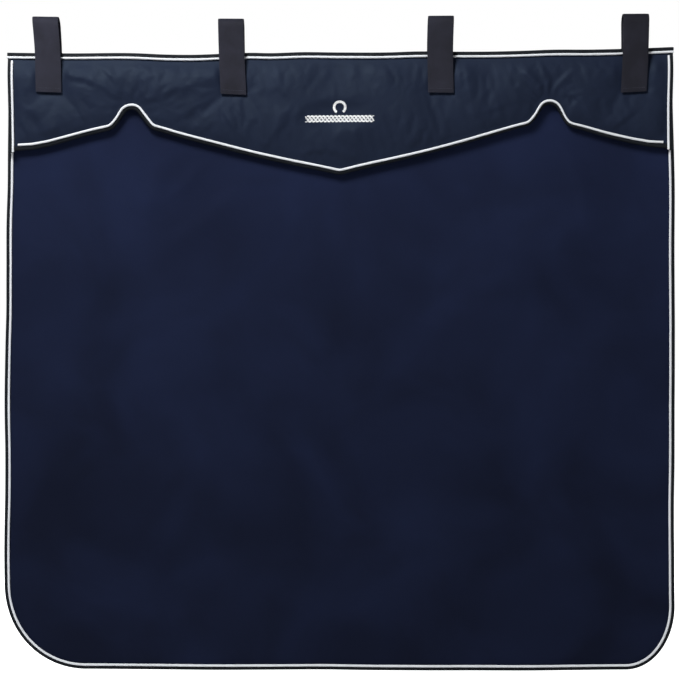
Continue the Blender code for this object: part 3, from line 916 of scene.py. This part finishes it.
def piping_finish(colours):
    finish = Finish("piping", colours.piping, 0.50, **{"Specular IOR Level": 0.30})
    twist = ((finish.across + finish.along) * (math.tau / 0.0008)).sin() * 0.5 + 0.5
    soil = finish.noise(45.0, 4.0, 0.6)
    soiled = (0.56, 0.59, 0.64, 1)
    finish.shade(finish.lit(1.0), soiled, (soil * 0.55 + twist * 0.15 - 0.15).clip())
    finish.rough(soil * 0.15 + 0.44)
    finish.relief((twist, 0.00003), (finish.noise(240.0, 1.0), 0.00006))
    return finish.material


def webbing_finish(colours):
    finish = Finish("webbing", colours.webbing, 0.74, **{"Specular IOR Level": 0.18})
    rib = 0.0024
    ribs = ribbed(finish, rib)
    slant = abs(finish.across * (1 / rib)).math("FRACT") * 0.0009
    picks = ((finish.along + slant) * (math.tau / 0.0014)).sin()
    weave = ribs * 0.6 + picks * 0.2 + 0.2
    fuzz = finish.noise(420.0, 3.0)
    cloud = finish.noise(24.0, 3.0, 0.4)
    # Each strap is darker by its number in the deep channel: painted shade, deepening from the left strap to
    # the right one
    tone = (weave * 0.3 + fuzz * 0.25 + cloud * 1.3 - finish.deep * 0.60 - 0.36).clip()
    finish.shade(finish.lit(0.58), finish.lit(1.55), tone)
    finish.rough(fuzz * 0.16 + 0.68)
    finish.relief((weave, 0.00012), (fuzz, 0.00003))
    return finish.material


def fastener_finish(colours):
    finish = Finish("fastener", colours.fastener, 0.9, **{"Specular IOR Level": 0.25})
    pile = finish.noise(1500.0, 3.0)
    finish.shade(finish.lit(0.6), finish.lit(1.9), pile)
    finish.rough(pile * 0.2 + 0.75)
    finish.relief((pile, 0.0001))
    return finish.material


def thread_finish(name, tint):
    finish = Finish(name, tint, 0.38, **{"Specular IOR Level": 0.5, "Sheen Weight": 0.1})
    twist = ((finish.along * 1.4 + finish.across) * (math.tau / 0.0006)).sin() * 0.5 + 0.5
    finish.shade(finish.lit(0.86), finish.lit(1.08), twist)
    finish.rough(twist * 0.12 + 0.32)
    finish.relief((twist, 0.00003))
    return finish.material


def finish_of(name, colours):
    """The material of this name, made the first time that a piece asks for it."""
    makers = {
        "canvas": canvas_finish,
        "lining": lining_finish,
        "nylon": nylon_finish,
        "binding": binding_finish,
        "piping": piping_finish,
        "webbing": webbing_finish,
        "fastener": fastener_finish,
        "thread": lambda colours: thread_finish("thread", colours.thread),
        "navy thread": lambda colours: thread_finish("navy thread", [c * 2.2 for c in colours.binding]),
        "strap thread": lambda colours: thread_finish("strap thread", [c * 2.6 for c in colours.webbing]),
    }
    return bpy.data.materials.get("curtain " + name) or makers[name](colours)


# ---- The panel ----------------------------------------------------------------------------------------


def corner_sizes():
    """(across, up) of the ply's two lower corners, left and right, read from the canvas."""
    points = corners_of("panel_canvas_drop")[:, [X, Z]]
    low = points[points[:, 1] < points[:, 1].min() + GAP / 2]
    sizes = []
    for side in (-1, 1):
        edge = points[points[:, 0] * side > PLY_EDGE - GAP / 2]
        lowest = edge[edge[:, 1] < edge[:, 1].max() - GAP][:, 1].min()
        sizes.append((PLY_EDGE - (low[:, 0] * side).max(), lowest - points[:, 1].min()))
    return sizes


CORNERS = corner_sizes()


def panel_edge(inset, step, top):
    """The panel's outline at this inset from its edge: down the left, along the bottom, up the right."""
    side = EDGE - inset
    path = []
    for sign, (across, up) in zip((-1, 1), CORNERS):
        reach = across + TAPE_OVER - inset
        rise = up + TAPE_OVER - inset
        centre = np.array([sign * (side - reach), BOTTOM + inset + rise])
        angles = np.linspace(0, math.pi / 2, round(math.hypot(reach, rise) * 1.1 / step))
        turn = line_of(sign * reach * np.cos(angles), -rise * np.sin(angles)) + centre
        straight = np.linspace(top, centre[1], round((top - centre[1]) / step), endpoint=False)
        down = np.concatenate([line_of(sign * side, straight), turn])
        path.append(down if sign < 0 else down[::-1])
    start, end = path[0][-1], path[1][0]
    along = np.linspace(start[0], end[0], round((end[0] - start[0]) / step))[1:-1]
    return np.concatenate([path[0], line_of(along, BOTTOM + inset), path[1]])


def panel_grid(sizes):
    """x and z of a grid over the panel's plies, with its rows closer together round the lower corners."""
    inset = TAPE_OVER + PLY_CLEAR
    side = EDGE - inset
    top = TOP - inset
    low = BOTTOM + inset
    tallest = max(up for _, up in CORNERS)
    rows = round((top - low - tallest) / sizes.panel_step)
    straight = np.linspace(top, low + tallest, rows, endpoint=False)
    turn = np.linspace(0, math.pi / 2, round(1.5 * tallest / sizes.panel_step))
    heights = np.concatenate([straight, low + tallest * (1 - np.sin(turn))])
    ends = []
    for across, up in CORNERS:
        drop = np.clip((low + up - heights) / up, 0, 1)
        ends.append(side - across * (1 - np.sqrt(1 - drop**2)))
    shares = np.linspace(0, 1, round(2 * side / sizes.panel_step) + 1)
    x = -ends[0][:, None] + (ends[0] + ends[1])[:, None] * shares
    return x, np.broadcast_to(heights[:, None], x.shape)


def hung_sheet(name, x, z, faces, material, sizes):
    """A hung cloth over a grid of x and z, between two depths."""
    front, back = (hang(points_of(x, depth, z), sizes) for depth in faces)
    return ply(name, front, back, material, points_of(x, 0.0, z))


def swing(made):
    """Bakes the piece's transform into its points, for the panel's pieces."""
    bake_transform(made)


def lift(made):
    """Bakes the piece's transform into its points, for the valance's pieces."""
    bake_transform(made)


def make_panel(sizes, colours):
    x, z = panel_grid(sizes)
    flat_size = (2 * PLY_EDGE, TOP - BOTTOM - 2 * TAPE_OVER)
    area = flat_size[0] * flat_size[1] - sum((1 - math.pi / 4) * across * up for across, up in CORNERS)
    for name, faces in (("canvas", CANVAS_FACES), ("lining", LINING_FACES)):
        made = hung_sheet("panel_" + name, x, z, faces, finish_of(name, colours), sizes)
        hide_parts(f"panel_{name}_header", f"panel_{name}_drop")
        swing(made)


def make_panel_trim(sizes, colours):
    top = BOX["panel_binding_header_left"][1].z
    edge = panel_edge(-PROUD, PANEL_TRIM_STEP, top)
    tape = binding("panel_binding", edge, PANEL_FACES, (PROUD + FRONT_LEG, PROUD + BACK_LEG), sizes, colours)
    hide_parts("panel_binding_header_left", "panel_binding_header_right", "panel_binding_drop")
    swing(tape)
    line = panel_edge(CORD_INSET, PANEL_TRIM_STEP, BOX["panel_piping_header_left"][1].z)
    cord = piping("panel_piping", line, PANEL_CORD_Y, sizes, colours)
    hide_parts("panel_piping_header_left", "panel_piping_header_right", "panel_piping_drop")
    swing(cord)
    rows = [
        seam(panel_edge(inset, PANEL_TRIM_STEP, top), face, sizes)
        for inset, face in zip((FRONT_SEAM, BACK_SEAM), tape_faces(PANEL_FACES))
    ]
    swing(stitches("panel_stitching", rows, sizes.sewing_thread, finish_of("navy thread", colours)))


# ---- The valance --------------------------------------------------------------------------------------


def valance_grid(sizes):
    """x and z of a grid over the valance's plies: its columns run from the top seam to the shaped hem."""
    side = PLY_EDGE - PLY_CLEAR
    x = np.linspace(-side, side, round(2 * side / sizes.valance_step) + 1)
    low = np.interp(x, HEM[:, 0], HEM[:, 1]) + PLY_CLEAR
    top = TOP - TAPE_OVER - PLY_CLEAR
    rows = 58
    shares = np.linspace(0, 1, rows)[:, None]
    return np.broadcast_to(x, (len(shares), len(x))), top + (low - top) * shares


def make_valance(sizes, colours):
    x, z = valance_grid(sizes)
    behind = back_y(z)
    cloth = points_of(x, 0.0, z)

    def surface(depth):
        return hang(points_of(x, depth, z), sizes, valance=True)

    front, core = surface(shell_y(x, z, sizes)), surface(behind - LINING_THICK - GAP)
    shell = ply("valance_shell", front, core, finish_of("nylon", colours), cloth)
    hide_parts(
        "valance_shell_header", "valance_shell_flap", "valance_wadding_header", "valance_wadding_flap"
    )
    lift(shell)
    front, back = surface(behind - LINING_THICK), surface(behind)
    lining = ply("valance_lining", front, back, finish_of("lining", colours), cloth)
    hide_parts("valance_lining_header", "valance_lining_flap")
    lift(lining)


def hem_line(outset):
    """The hem's outline moved outwards from the plies' edge by one distance, or by one for each point."""
    line = HEM[::HEM_EVERY]
    return line - inward(line) * np.broadcast_to(outset, len(line))[:, None]


def side_line(sign, inset, top, low):
    """A line up or down one side of the valance, with the cloth to its left."""
    heights = np.linspace(top, low, round((top - low) / SIDE_TRIM_STEP))
    line = line_of(sign * (EDGE - inset), heights)
    return line if sign < 0 else line[::-1]


def make_valance_trim(sizes, colours):
    hem_seams = 0.0012, 0.0030
    cord_stop, cord_start = 0.0045, 0.0040
    past_hem = 0.0030
    cord_inset = HEM_CORD_INSET[::HEM_EVERY]
    hem_leg = cord_inset - CORD_RADIUS - GAP
    legs = hem_leg, hem_leg
    hem = binding("valance_hem_binding", hem_line(TAPE_OVER), VALANCE_FACES, legs, sizes, colours, True)
    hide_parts("valance_binding_hem")
    lift(hem)
    rows = [
        seam(hem_line(TAPE_OVER - hem_leg + inset), face, sizes, True)
        for inset, face in zip(hem_seams, tape_faces(VALANCE_FACES))
    ]
    line = hem_line(TAPE_OVER - cord_inset)
    line = line[np.abs(line[:, 0]) < EDGE - CORD_INSET - CORD_RADIUS - cord_stop]
    cord = piping("valance_hem_piping", line, middle("valance_piping_hem", Y), sizes, colours, True)
    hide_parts("valance_piping_hem")
    lift(cord)
    side_leg = CORD_INSET - CORD_RADIUS - GAP
    top = BOX["valance_piping_header_left"][1].z
    for side, sign, corner in (("left", -1, HEM[0]), ("right", 1, HEM[-1])):

        def face_of(line):
            """The shell's face, and over the hem's end the face of the hem's tape."""
            over = 1 - smooth(line[:, 1] - corner[1], 0.003, 0.016)
            return shell_y(line[:, 0], line[:, 1], sizes) - (GAP + TAPE) * over

        low = corner[1] - TAPE_OVER - past_hem
        edge = side_line(sign, -PROUD, top, low)
        faces = (face_of(edge), back_y(edge[:, 1]))
        tape = binding("valance_binding_" + side, edge, faces, (side_leg + PROUD,) * 2, sizes, colours, True)
        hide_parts("valance_binding_header_" + side, "valance_binding_flap_" + side)
        lift(tape)
        line = side_line(sign, CORD_INSET, top - cord_start, low + GAP)
        cord = piping("valance_piping_" + side, line, face_of(line) - GAP - CORD_RADIUS, sizes, colours, True)
        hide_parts("valance_piping_header_" + side, "valance_piping_flap_" + side)
        lift(cord)
        line = side_line(sign, FRONT_SEAM, top, low)
        rows.append(seam(line, face_of(line) - GAP - TAPE, sizes, True))
    lift(stitches("valance_stitching", rows, sizes.sewing_thread, finish_of("navy thread", colours)))


def make_top_trim(sizes, colours):
    reach = EDGE + TOP_OVERHANG
    x = np.linspace(reach, -reach, 400)
    faces = SEAM_FRONT, PANEL_FACES[1]
    legs = TOP_CORD_INSET - CORD_RADIUS - GAP + PROUD, BACK_LEG + PROUD
    tape = binding("top_binding_tape", line_of(x, TOP + PROUD), faces, legs, sizes, colours)
    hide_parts("top_binding")
    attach(tape, "root")
    line = line_of(x, TOP - TOP_CORD_INSET)
    cord = piping("top_piping_cord", line, middle("top_piping", Y), sizes, colours)
    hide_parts("top_piping")
    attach(cord, "root")
    seams = zip((TOP_SEAM, BACK_SEAM), tape_faces(faces))
    rows = [seam(line_of(x, TOP - inset), face, sizes) for inset, face in seams]
    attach(stitches("top_stitching", rows, sizes.sewing_thread, finish_of("navy thread", colours)), "root")


# ---- Straps and their fasteners -----------------------------------------------------------------------


def strap_line():
    """(y, z) points of a strap's middle, from the tail's end up the back, over the rail and down in front."""
    hanger, tongue = corners_of("strap_1_hanger"), corners_of("strap_1_tongue")
    radius = BOX["strap_1_hanger"][1].z - STRAP_HALF_THICK
    tail = hanger[hanger[:, Z] < hanger[:, Z].min() + GAP][:, Y].mean()
    front = tongue[tongue[:, Z] < tongue[:, Z].min() + GAP][:, Y].mean()
    low = BOX["strap_1_hanger"][0].z
    plump = BOX["panel_piping_header_left"][1].z
    start = math.atan2(TOP, tail) + math.acos(radius / math.hypot(tail, TOP))
    end = (math.atan2(plump, front) - math.acos(radius / math.hypot(front, plump))) % math.tau
    angles = np.linspace(start, end, 26)
    bend = line_of(radius * np.cos(angles), radius * np.sin(angles))
    line = np.concatenate([[(tail, low), (tail, TOP)], bend, [(front, plump), (front, -STRAP_REACH)]])
    lengths = lengths_of(line)
    spacing = 0.0025
    even = np.arange(0, lengths[-1], spacing)
    return line_of(*(np.interp(even, lengths, line[:, axis]) for axis in (0, 1)))


def strap_surface(line, number):
    """Front and back grids of a strap along a line of y and z. Only its front hangs askew."""
    normal, lengths = inward(line), lengths_of(line)
    across = np.linspace(-1, 1, 23)
    shape = 1 - 0.45 * np.abs(across) ** 12
    height = np.where(line[:, 0] < 0, line[:, 1], np.maximum(line[:, 1], TOP))
    lean = strap_middle(number, height)
    tilt = -np.gradient(lean, lengths) * WEBBING / 2
    curl = 0.0005 * across**2 * (smooth(-line[:, 1], 0.085, STRAP_REACH) * (line[:, 0] < 0))[:, None]
    risen = (line[:, 1] + strap_rise(number, height))[:, None]
    grids = []
    for side in (1, -1):
        offset = side * STRAP_HALF_THICK * shape
        y = line[:, [0]] + normal[:, [0]] * offset - curl
        z = risen + normal[:, [1]] * offset + tilt[:, None] * across
        grids.append(points_of(lean[:, None] + across * WEBBING / 2, y, z))
    # Each strap has its own place in the weave, which also sets its painted shade: each strap further to the
    # right is painted darker
    wear_and_shade = number * 0.3
    return grids, points_of(across * WEBBING / 2, wear_and_shade, lengths[:, None])


def box_stitches(centre, width, height, low, y, pitch):
    """Rows of a sewn box with its cross, at the depth y."""
    left, right = centre - width / 2, centre + width / 2
    top = low + height
    corners = np.array([(left, y, low), (right, y, low), (right, y, top), (left, y, top)])
    shares = np.linspace(0, 1, 12)[:, None]
    lines = [(corners[a], corners[b]) for a, b in ((0, 1), (1, 2), (2, 3), (3, 0), (0, 2), (1, 3))]
    return [sewn_row(start + (end - start) * shares, pitch) for start, end in lines]


def make_straps(sizes, colours):
    material = finish_of("webbing", colours)
    thread = finish_of("strap thread", colours)
    line = strap_line()
    crown = int(np.argmax(line[:, 1]))
    end_seam, box_inset, box_height, box_low = 0.0085, 0.010, 0.036, 0.004
    for number in range(len(STRAPS)):
        name = f"strap_{number + 1}"
        (front, back), cloth = strap_surface(line, number)
        body = ply(name, front[crown:], back[crown:], material, cloth[crown:])
        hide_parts(name + "_hanger", name + "_tongue")
        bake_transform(body)
        row = crown + int(np.argmin(np.abs(line[crown:, 1] - end_seam + STRAP_REACH)))
        outer = min(front[row, 1:-1], back[row, 1:-1], key=lambda across: across[:, Y].mean())
        end_row = sewn_row(outer, sizes.stitch)
        turned = stitches(name + "_end_stitching", [end_row], sizes.sewing_thread, thread)
        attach(turned, f"tongue_{number + 1}")
        front, back, cloth = (grid[: crown + 1] for grid in (front, back, cloth))
        tail = ply(name + "_tail", front, back, material, cloth)
        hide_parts(name + "_hanger")
        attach(tail, "root")
        tail_y = line[0, 0] + STRAP_HALF_THICK
        low = BOX[name + "_hanger"][0].z + box_low
        centre = strap_middle(number, TOP)
        rows = box_stitches(centre, WEBBING - box_inset, box_height, low, tail_y, sizes.stitch)
        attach(stitches(name + "_tail_stitching", rows, sizes.sewing_thread, thread), "root")


def patch(name, number, material):
    """A hook or pile patch with rounded corners, whose face stands up in small tufts."""
    y = middle(f"strap_1_{name}_patch", Y)
    half = thickness("strap_1_pile_patch", Y) / 2
    low, high = BOX[f"strap_1_{name}_patch"]
    width, height = high.x - low.x, high.z - low.z
    z, x = np.meshgrid(np.linspace(high.z, low.z, 46), np.linspace(-width / 2, width / 2, 50), indexing="ij")
    corner = 0.005
    over = np.clip(np.abs(z - (high.z + low.z) / 2) - (height / 2 - corner), 0, corner) / corner
    x = x * (1 - (1 - np.sqrt(1 - over**2)) * corner / (width / 2))
    draw = np.random.default_rng(100 + number)
    tallest = 0.0004
    tufts = draw.uniform(0, tallest, x.shape)
    tufts[[0, -1]] = 0
    tufts[:, [0, -1]] = 0
    place = strap_middle(number, z) + x
    rise = z + strap_rise(number, z)
    front = points_of(place, y - half + tufts * (name == "pile"), rise)
    back = points_of(place, y + half - tufts * (name == "hook"), rise)
    made = ply(f"strap_{number + 1}_{name}_tape", front, back, material, points_of(x, 0.0, z))
    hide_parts(f"strap_{number + 1}_{name}_patch")
    return made


def make_fasteners(sizes, colours):
    material = finish_of("fastener", colours)
    for number in range(len(STRAPS)):
        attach(patch("pile", number, material), "root")
        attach(patch("hook", number, material), f"tongue_{number + 1}")


# ---- The emblem ---------------------------------------------------------------------------------------


def on_shell(points, sizes, height):
    """Points of x and z laid on the valance's front face, standing out from it by a height."""
    x, z = points.T
    return hang(points_of(x, shell_y(x, z, sizes) - height, z), sizes, valance=True)


def satin(name, starts, ends, heights, sizes, finish):
    """Satin stitches from one edge of an embroidered band to the other, laid on the shell."""
    first = on_shell(starts, sizes, heights)
    last = on_shell(ends, sizes, heights)
    return stitches(name, [list(zip(first, last))], sizes.embroidery_thread, finish)


def make_emblem(sizes, colours):
    thread = finish_of("thread", colours)
    low, high = BOX["emblem_horseshoe"]
    outer = (high.x - low.x) / 2
    band = 0.0052
    centre = np.array([0, high.z - outer])
    gap = math.radians(70)
    pitch = sizes.embroidery_thread * 0.72
    count = round((math.tau - gap) * (outer - band / 2) / pitch)
    angles = np.linspace(-math.pi / 2 + gap / 2, math.tau - math.pi / 2 - gap / 2, count)
    slant = 0.05
    inner_edge = centre + line_of(np.cos(angles), np.sin(angles)) * (outer - band)
    outer_edge = centre + line_of(np.cos(angles + slant), np.sin(angles + slant)) * outer
    shoe = satin("emblem_horseshoe_thread", inner_edge, outer_edge, 0.0004, sizes, thread)
    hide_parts("emblem_horseshoe")
    lift(shoe)
    nails = 7
    holes = np.linspace(angles[0] + 0.35, angles[-1] - 0.35, nails)
    rays = line_of(np.cos(holes), np.sin(holes))
    inner_end, outer_end = (centre + rays * (outer - inset) for inset in (0.0036, 0.0018))
    lift(satin("emblem_nail_thread", inner_end, outer_end, 0.0008, sizes, finish_of("navy thread", colours)))
    low, high = BOX["emblem_plait"]
    half_width = (high.x - low.x) / 2 - 0.002
    swing_height = (high.z - low.z) / 2 - 0.0030
    mid = (high.z + low.z) / 2
    strand = 0.0017
    wavelength = 0.0216
    strands = 3
    lead = np.array([0.0006, 0])
    starts, ends, heights = [], [], []
    for phase in range(strands):
        x = np.arange(-half_width, half_width, pitch * 0.8)
        turn = x * math.tau / wavelength + phase * math.tau / strands
        z = mid + swing_height * np.sin(turn)
        path = line_of(x, z)
        taper = 0.35 + 0.65 * smooth(half_width - np.abs(x), 0, 0.006)
        across = inward(path) * (strand * taper)[:, None]
        starts.append(path - across - lead)
        ends.append(path + across + lead)
        heights.append(0.0006 + 0.0004 * np.cos(2 * turn + 0.4))
    plait = satin("emblem_plait_thread", *map(np.concatenate, (starts, ends, heights)), sizes, thread)
    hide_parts("emblem_plait")
    lift(plait)


# ---- The studio ---------------------------------------------------------------------------------------


def aimed(made, place, target):
    made.location = place
    made.rotation_euler = (Vector(target) - Vector(place)).to_track_quat("-Z", "Y").to_euler()
    bpy.context.scene.collection.objects.link(made)
    return made


def softbox(name, place, target, size, power):
    light = bpy.data.lights.new(name, "AREA")
    light.shape = "SQUARE"
    light.size = size
    light.energy = power
    return aimed(bpy.data.objects.new(name, light), place, target)


def make_sky():
    """White to the camera, and a faint even light to everything else."""
    world = bpy.data.worlds.new("studio")
    bpy.context.scene.world = world
    world.use_nodes = True
    world.node_tree.nodes.clear()
    nodes = Nodes(world.node_tree)
    seen, cast = (
        nodes.node("ShaderNodeBackground", {}, {"Color": tint, "Strength": strength}).outputs[0]
        for tint, strength in (((1, 1, 1, 1), 1.0), ((0.95, 0.97, 1, 1), 0.06))
    )
    to_camera = nodes.node("ShaderNodeLightPath").outputs["Is Camera Ray"]
    mixed = nodes.node("ShaderNodeMixShader", {}, {"Fac": to_camera, 1: cast, 2: seen}).outputs[0]
    nodes.node("ShaderNodeOutputWorld", {}, {"Surface": mixed})


def make_floor():
    reach = 40.0
    level = BOTTOM - 0.055
    corners = [(-reach, -reach, level), (reach, -reach, level), (reach, reach, level), (-reach, reach, level)]
    mesh = bpy.data.meshes.new("floor")
    mesh.from_pydata(corners, [], [(0, 1, 2, 3)])
    floor = bpy.data.objects.new("floor", mesh)
    bpy.context.scene.collection.objects.link(floor)
    pale = bpy.data.materials.new("pale floor")
    pale.use_nodes = True
    nodes = Nodes(pale.node_tree)
    nodes.set(nodes.tree.nodes["Principled BSDF"], {
        "Base Color": (0.93, 0.93, 0.94, 1),
        "Roughness": 0.9,
        "Emission Strength": 1.0,
        "Emission Color": nodes.node("ShaderNodeLightPath").outputs["Is Camera Ray"],
    })
    mesh.materials.append(pale)


def make_stage():
    scene = bpy.context.scene
    camera = bpy.data.cameras.new("camera")
    camera.lens = 100
    camera.sensor_width = 36
    lens_place = Vector((0.0005, -3.55, -0.5916))
    scene.camera = aimed(bpy.data.objects.new("camera", camera), lens_place, lens_place + Vector((0, 1, 0)))
    softbox("key", (-1.0, -1.7, 1.6), (0, 0, -0.5), 0.9, 102)
    softbox("fill", (2.2, -2.6, 0.4), (0, 0, -0.6), 2.0, 12)
    softbox("back_left", (-2.0, 2.8, 0.8), (0, 0, -0.6), 2.0, 70)
    softbox("back_right", (2.0, 2.6, 0.2), (0, 0, -0.6), 2.0, 40)
    make_sky()
    make_floor()
    scene.view_settings.view_transform = "Standard"


# ---- Operators and panel ------------------------------------------------------------------------------


class CURTAIN_OT_stage(bpy.types.Operator):
    """Makes the floor, the lights and the camera"""

    bl_idname = "curtain.stage"
    bl_label = "Studio"

    def execute(self, context):
        make_stage()
        return {"FINISHED"}


class CURTAIN_OT_panel(bpy.types.Operator):
    """Makes the panel's canvas and lining"""

    bl_idname = "curtain.panel"
    bl_label = "Panel"

    def execute(self, context):
        make_panel(context.scene.curtain_sizes, context.scene.curtain_colours)
        return {"FINISHED"}


class CURTAIN_OT_panel_trim(bpy.types.Operator):
    """Makes the binding, piping and stitching round the panel"""

    bl_idname = "curtain.panel_trim"
    bl_label = "Panel Trim"

    def execute(self, context):
        make_panel_trim(context.scene.curtain_sizes, context.scene.curtain_colours)
        return {"FINISHED"}


class CURTAIN_OT_valance(bpy.types.Operator):
    """Makes the padded valance and its lining"""

    bl_idname = "curtain.valance"
    bl_label = "Valance"

    def execute(self, context):
        make_valance(context.scene.curtain_sizes, context.scene.curtain_colours)
        return {"FINISHED"}


class CURTAIN_OT_valance_trim(bpy.types.Operator):
    """Makes the bindings, pipings and stitching round the valance"""

    bl_idname = "curtain.valance_trim"
    bl_label = "Valance Trim"

    def execute(self, context):
        make_valance_trim(context.scene.curtain_sizes, context.scene.curtain_colours)
        return {"FINISHED"}


class CURTAIN_OT_top_trim(bpy.types.Operator):
    """Makes the binding, piping and stitching along the top edge"""

    bl_idname = "curtain.top_trim"
    bl_label = "Top Trim"

    def execute(self, context):
        make_top_trim(context.scene.curtain_sizes, context.scene.curtain_colours)
        return {"FINISHED"}


class CURTAIN_OT_straps(bpy.types.Operator):
    """Makes the four rail straps with their sewn tails"""

    bl_idname = "curtain.straps"
    bl_label = "Straps"

    def execute(self, context):
        make_straps(context.scene.curtain_sizes, context.scene.curtain_colours)
        return {"FINISHED"}


class CURTAIN_OT_fasteners(bpy.types.Operator):
    """Makes the hook and pile patches behind the straps' free ends"""

    bl_idname = "curtain.fasteners"
    bl_label = "Fasteners"

    def execute(self, context):
        make_fasteners(context.scene.curtain_sizes, context.scene.curtain_colours)
        return {"FINISHED"}


class CURTAIN_OT_emblem(bpy.types.Operator):
    """Makes the embroidered horseshoe and plait"""

    bl_idname = "curtain.emblem"
    bl_label = "Emblem"

    def execute(self, context):
        make_emblem(context.scene.curtain_sizes, context.scene.curtain_colours)
        return {"FINISHED"}


OPERATORS = (
    CURTAIN_OT_stage,
    CURTAIN_OT_panel,
    CURTAIN_OT_panel_trim,
    CURTAIN_OT_valance,
    CURTAIN_OT_valance_trim,
    CURTAIN_OT_top_trim,
    CURTAIN_OT_straps,
    CURTAIN_OT_fasteners,
    CURTAIN_OT_emblem,
)


class CURTAIN_PT_pieces(bpy.types.Panel):
    """Lists the curtain's sizes, colours and pieces"""

    bl_idname = "CURTAIN_PT_pieces"
    bl_label = "Stable Curtain"
    bl_space_type = "VIEW_3D"
    bl_region_type = "UI"
    bl_category = "Curtain"

    def draw(self, context):
        for settings in (context.scene.curtain_sizes, context.scene.curtain_colours):
            box = self.layout.box()
            for name in settings.bl_rna.properties.keys():
                if name not in ("rna_type", "name"):
                    box.prop(settings, name)
        for operator in OPERATORS:
            self.layout.operator(operator.bl_idname)


CLASSES = (CurtainSizes, CurtainColours, *OPERATORS, CURTAIN_PT_pieces)


def register():
    for cls in CLASSES:
        bpy.utils.register_class(cls)
    bpy.types.Scene.curtain_sizes = PointerProperty(type=CurtainSizes)
    bpy.types.Scene.curtain_colours = PointerProperty(type=CurtainColours)


def unregister():
    del bpy.types.Scene.curtain_colours
    del bpy.types.Scene.curtain_sizes
    for cls in reversed(CLASSES):
        bpy.utils.unregister_class(cls)


def main():
    register()
    for operator in OPERATORS:
        group, name = operator.bl_idname.split(".")
        getattr(getattr(bpy.ops, group), name)()


if __name__ == "__main__":
    main()
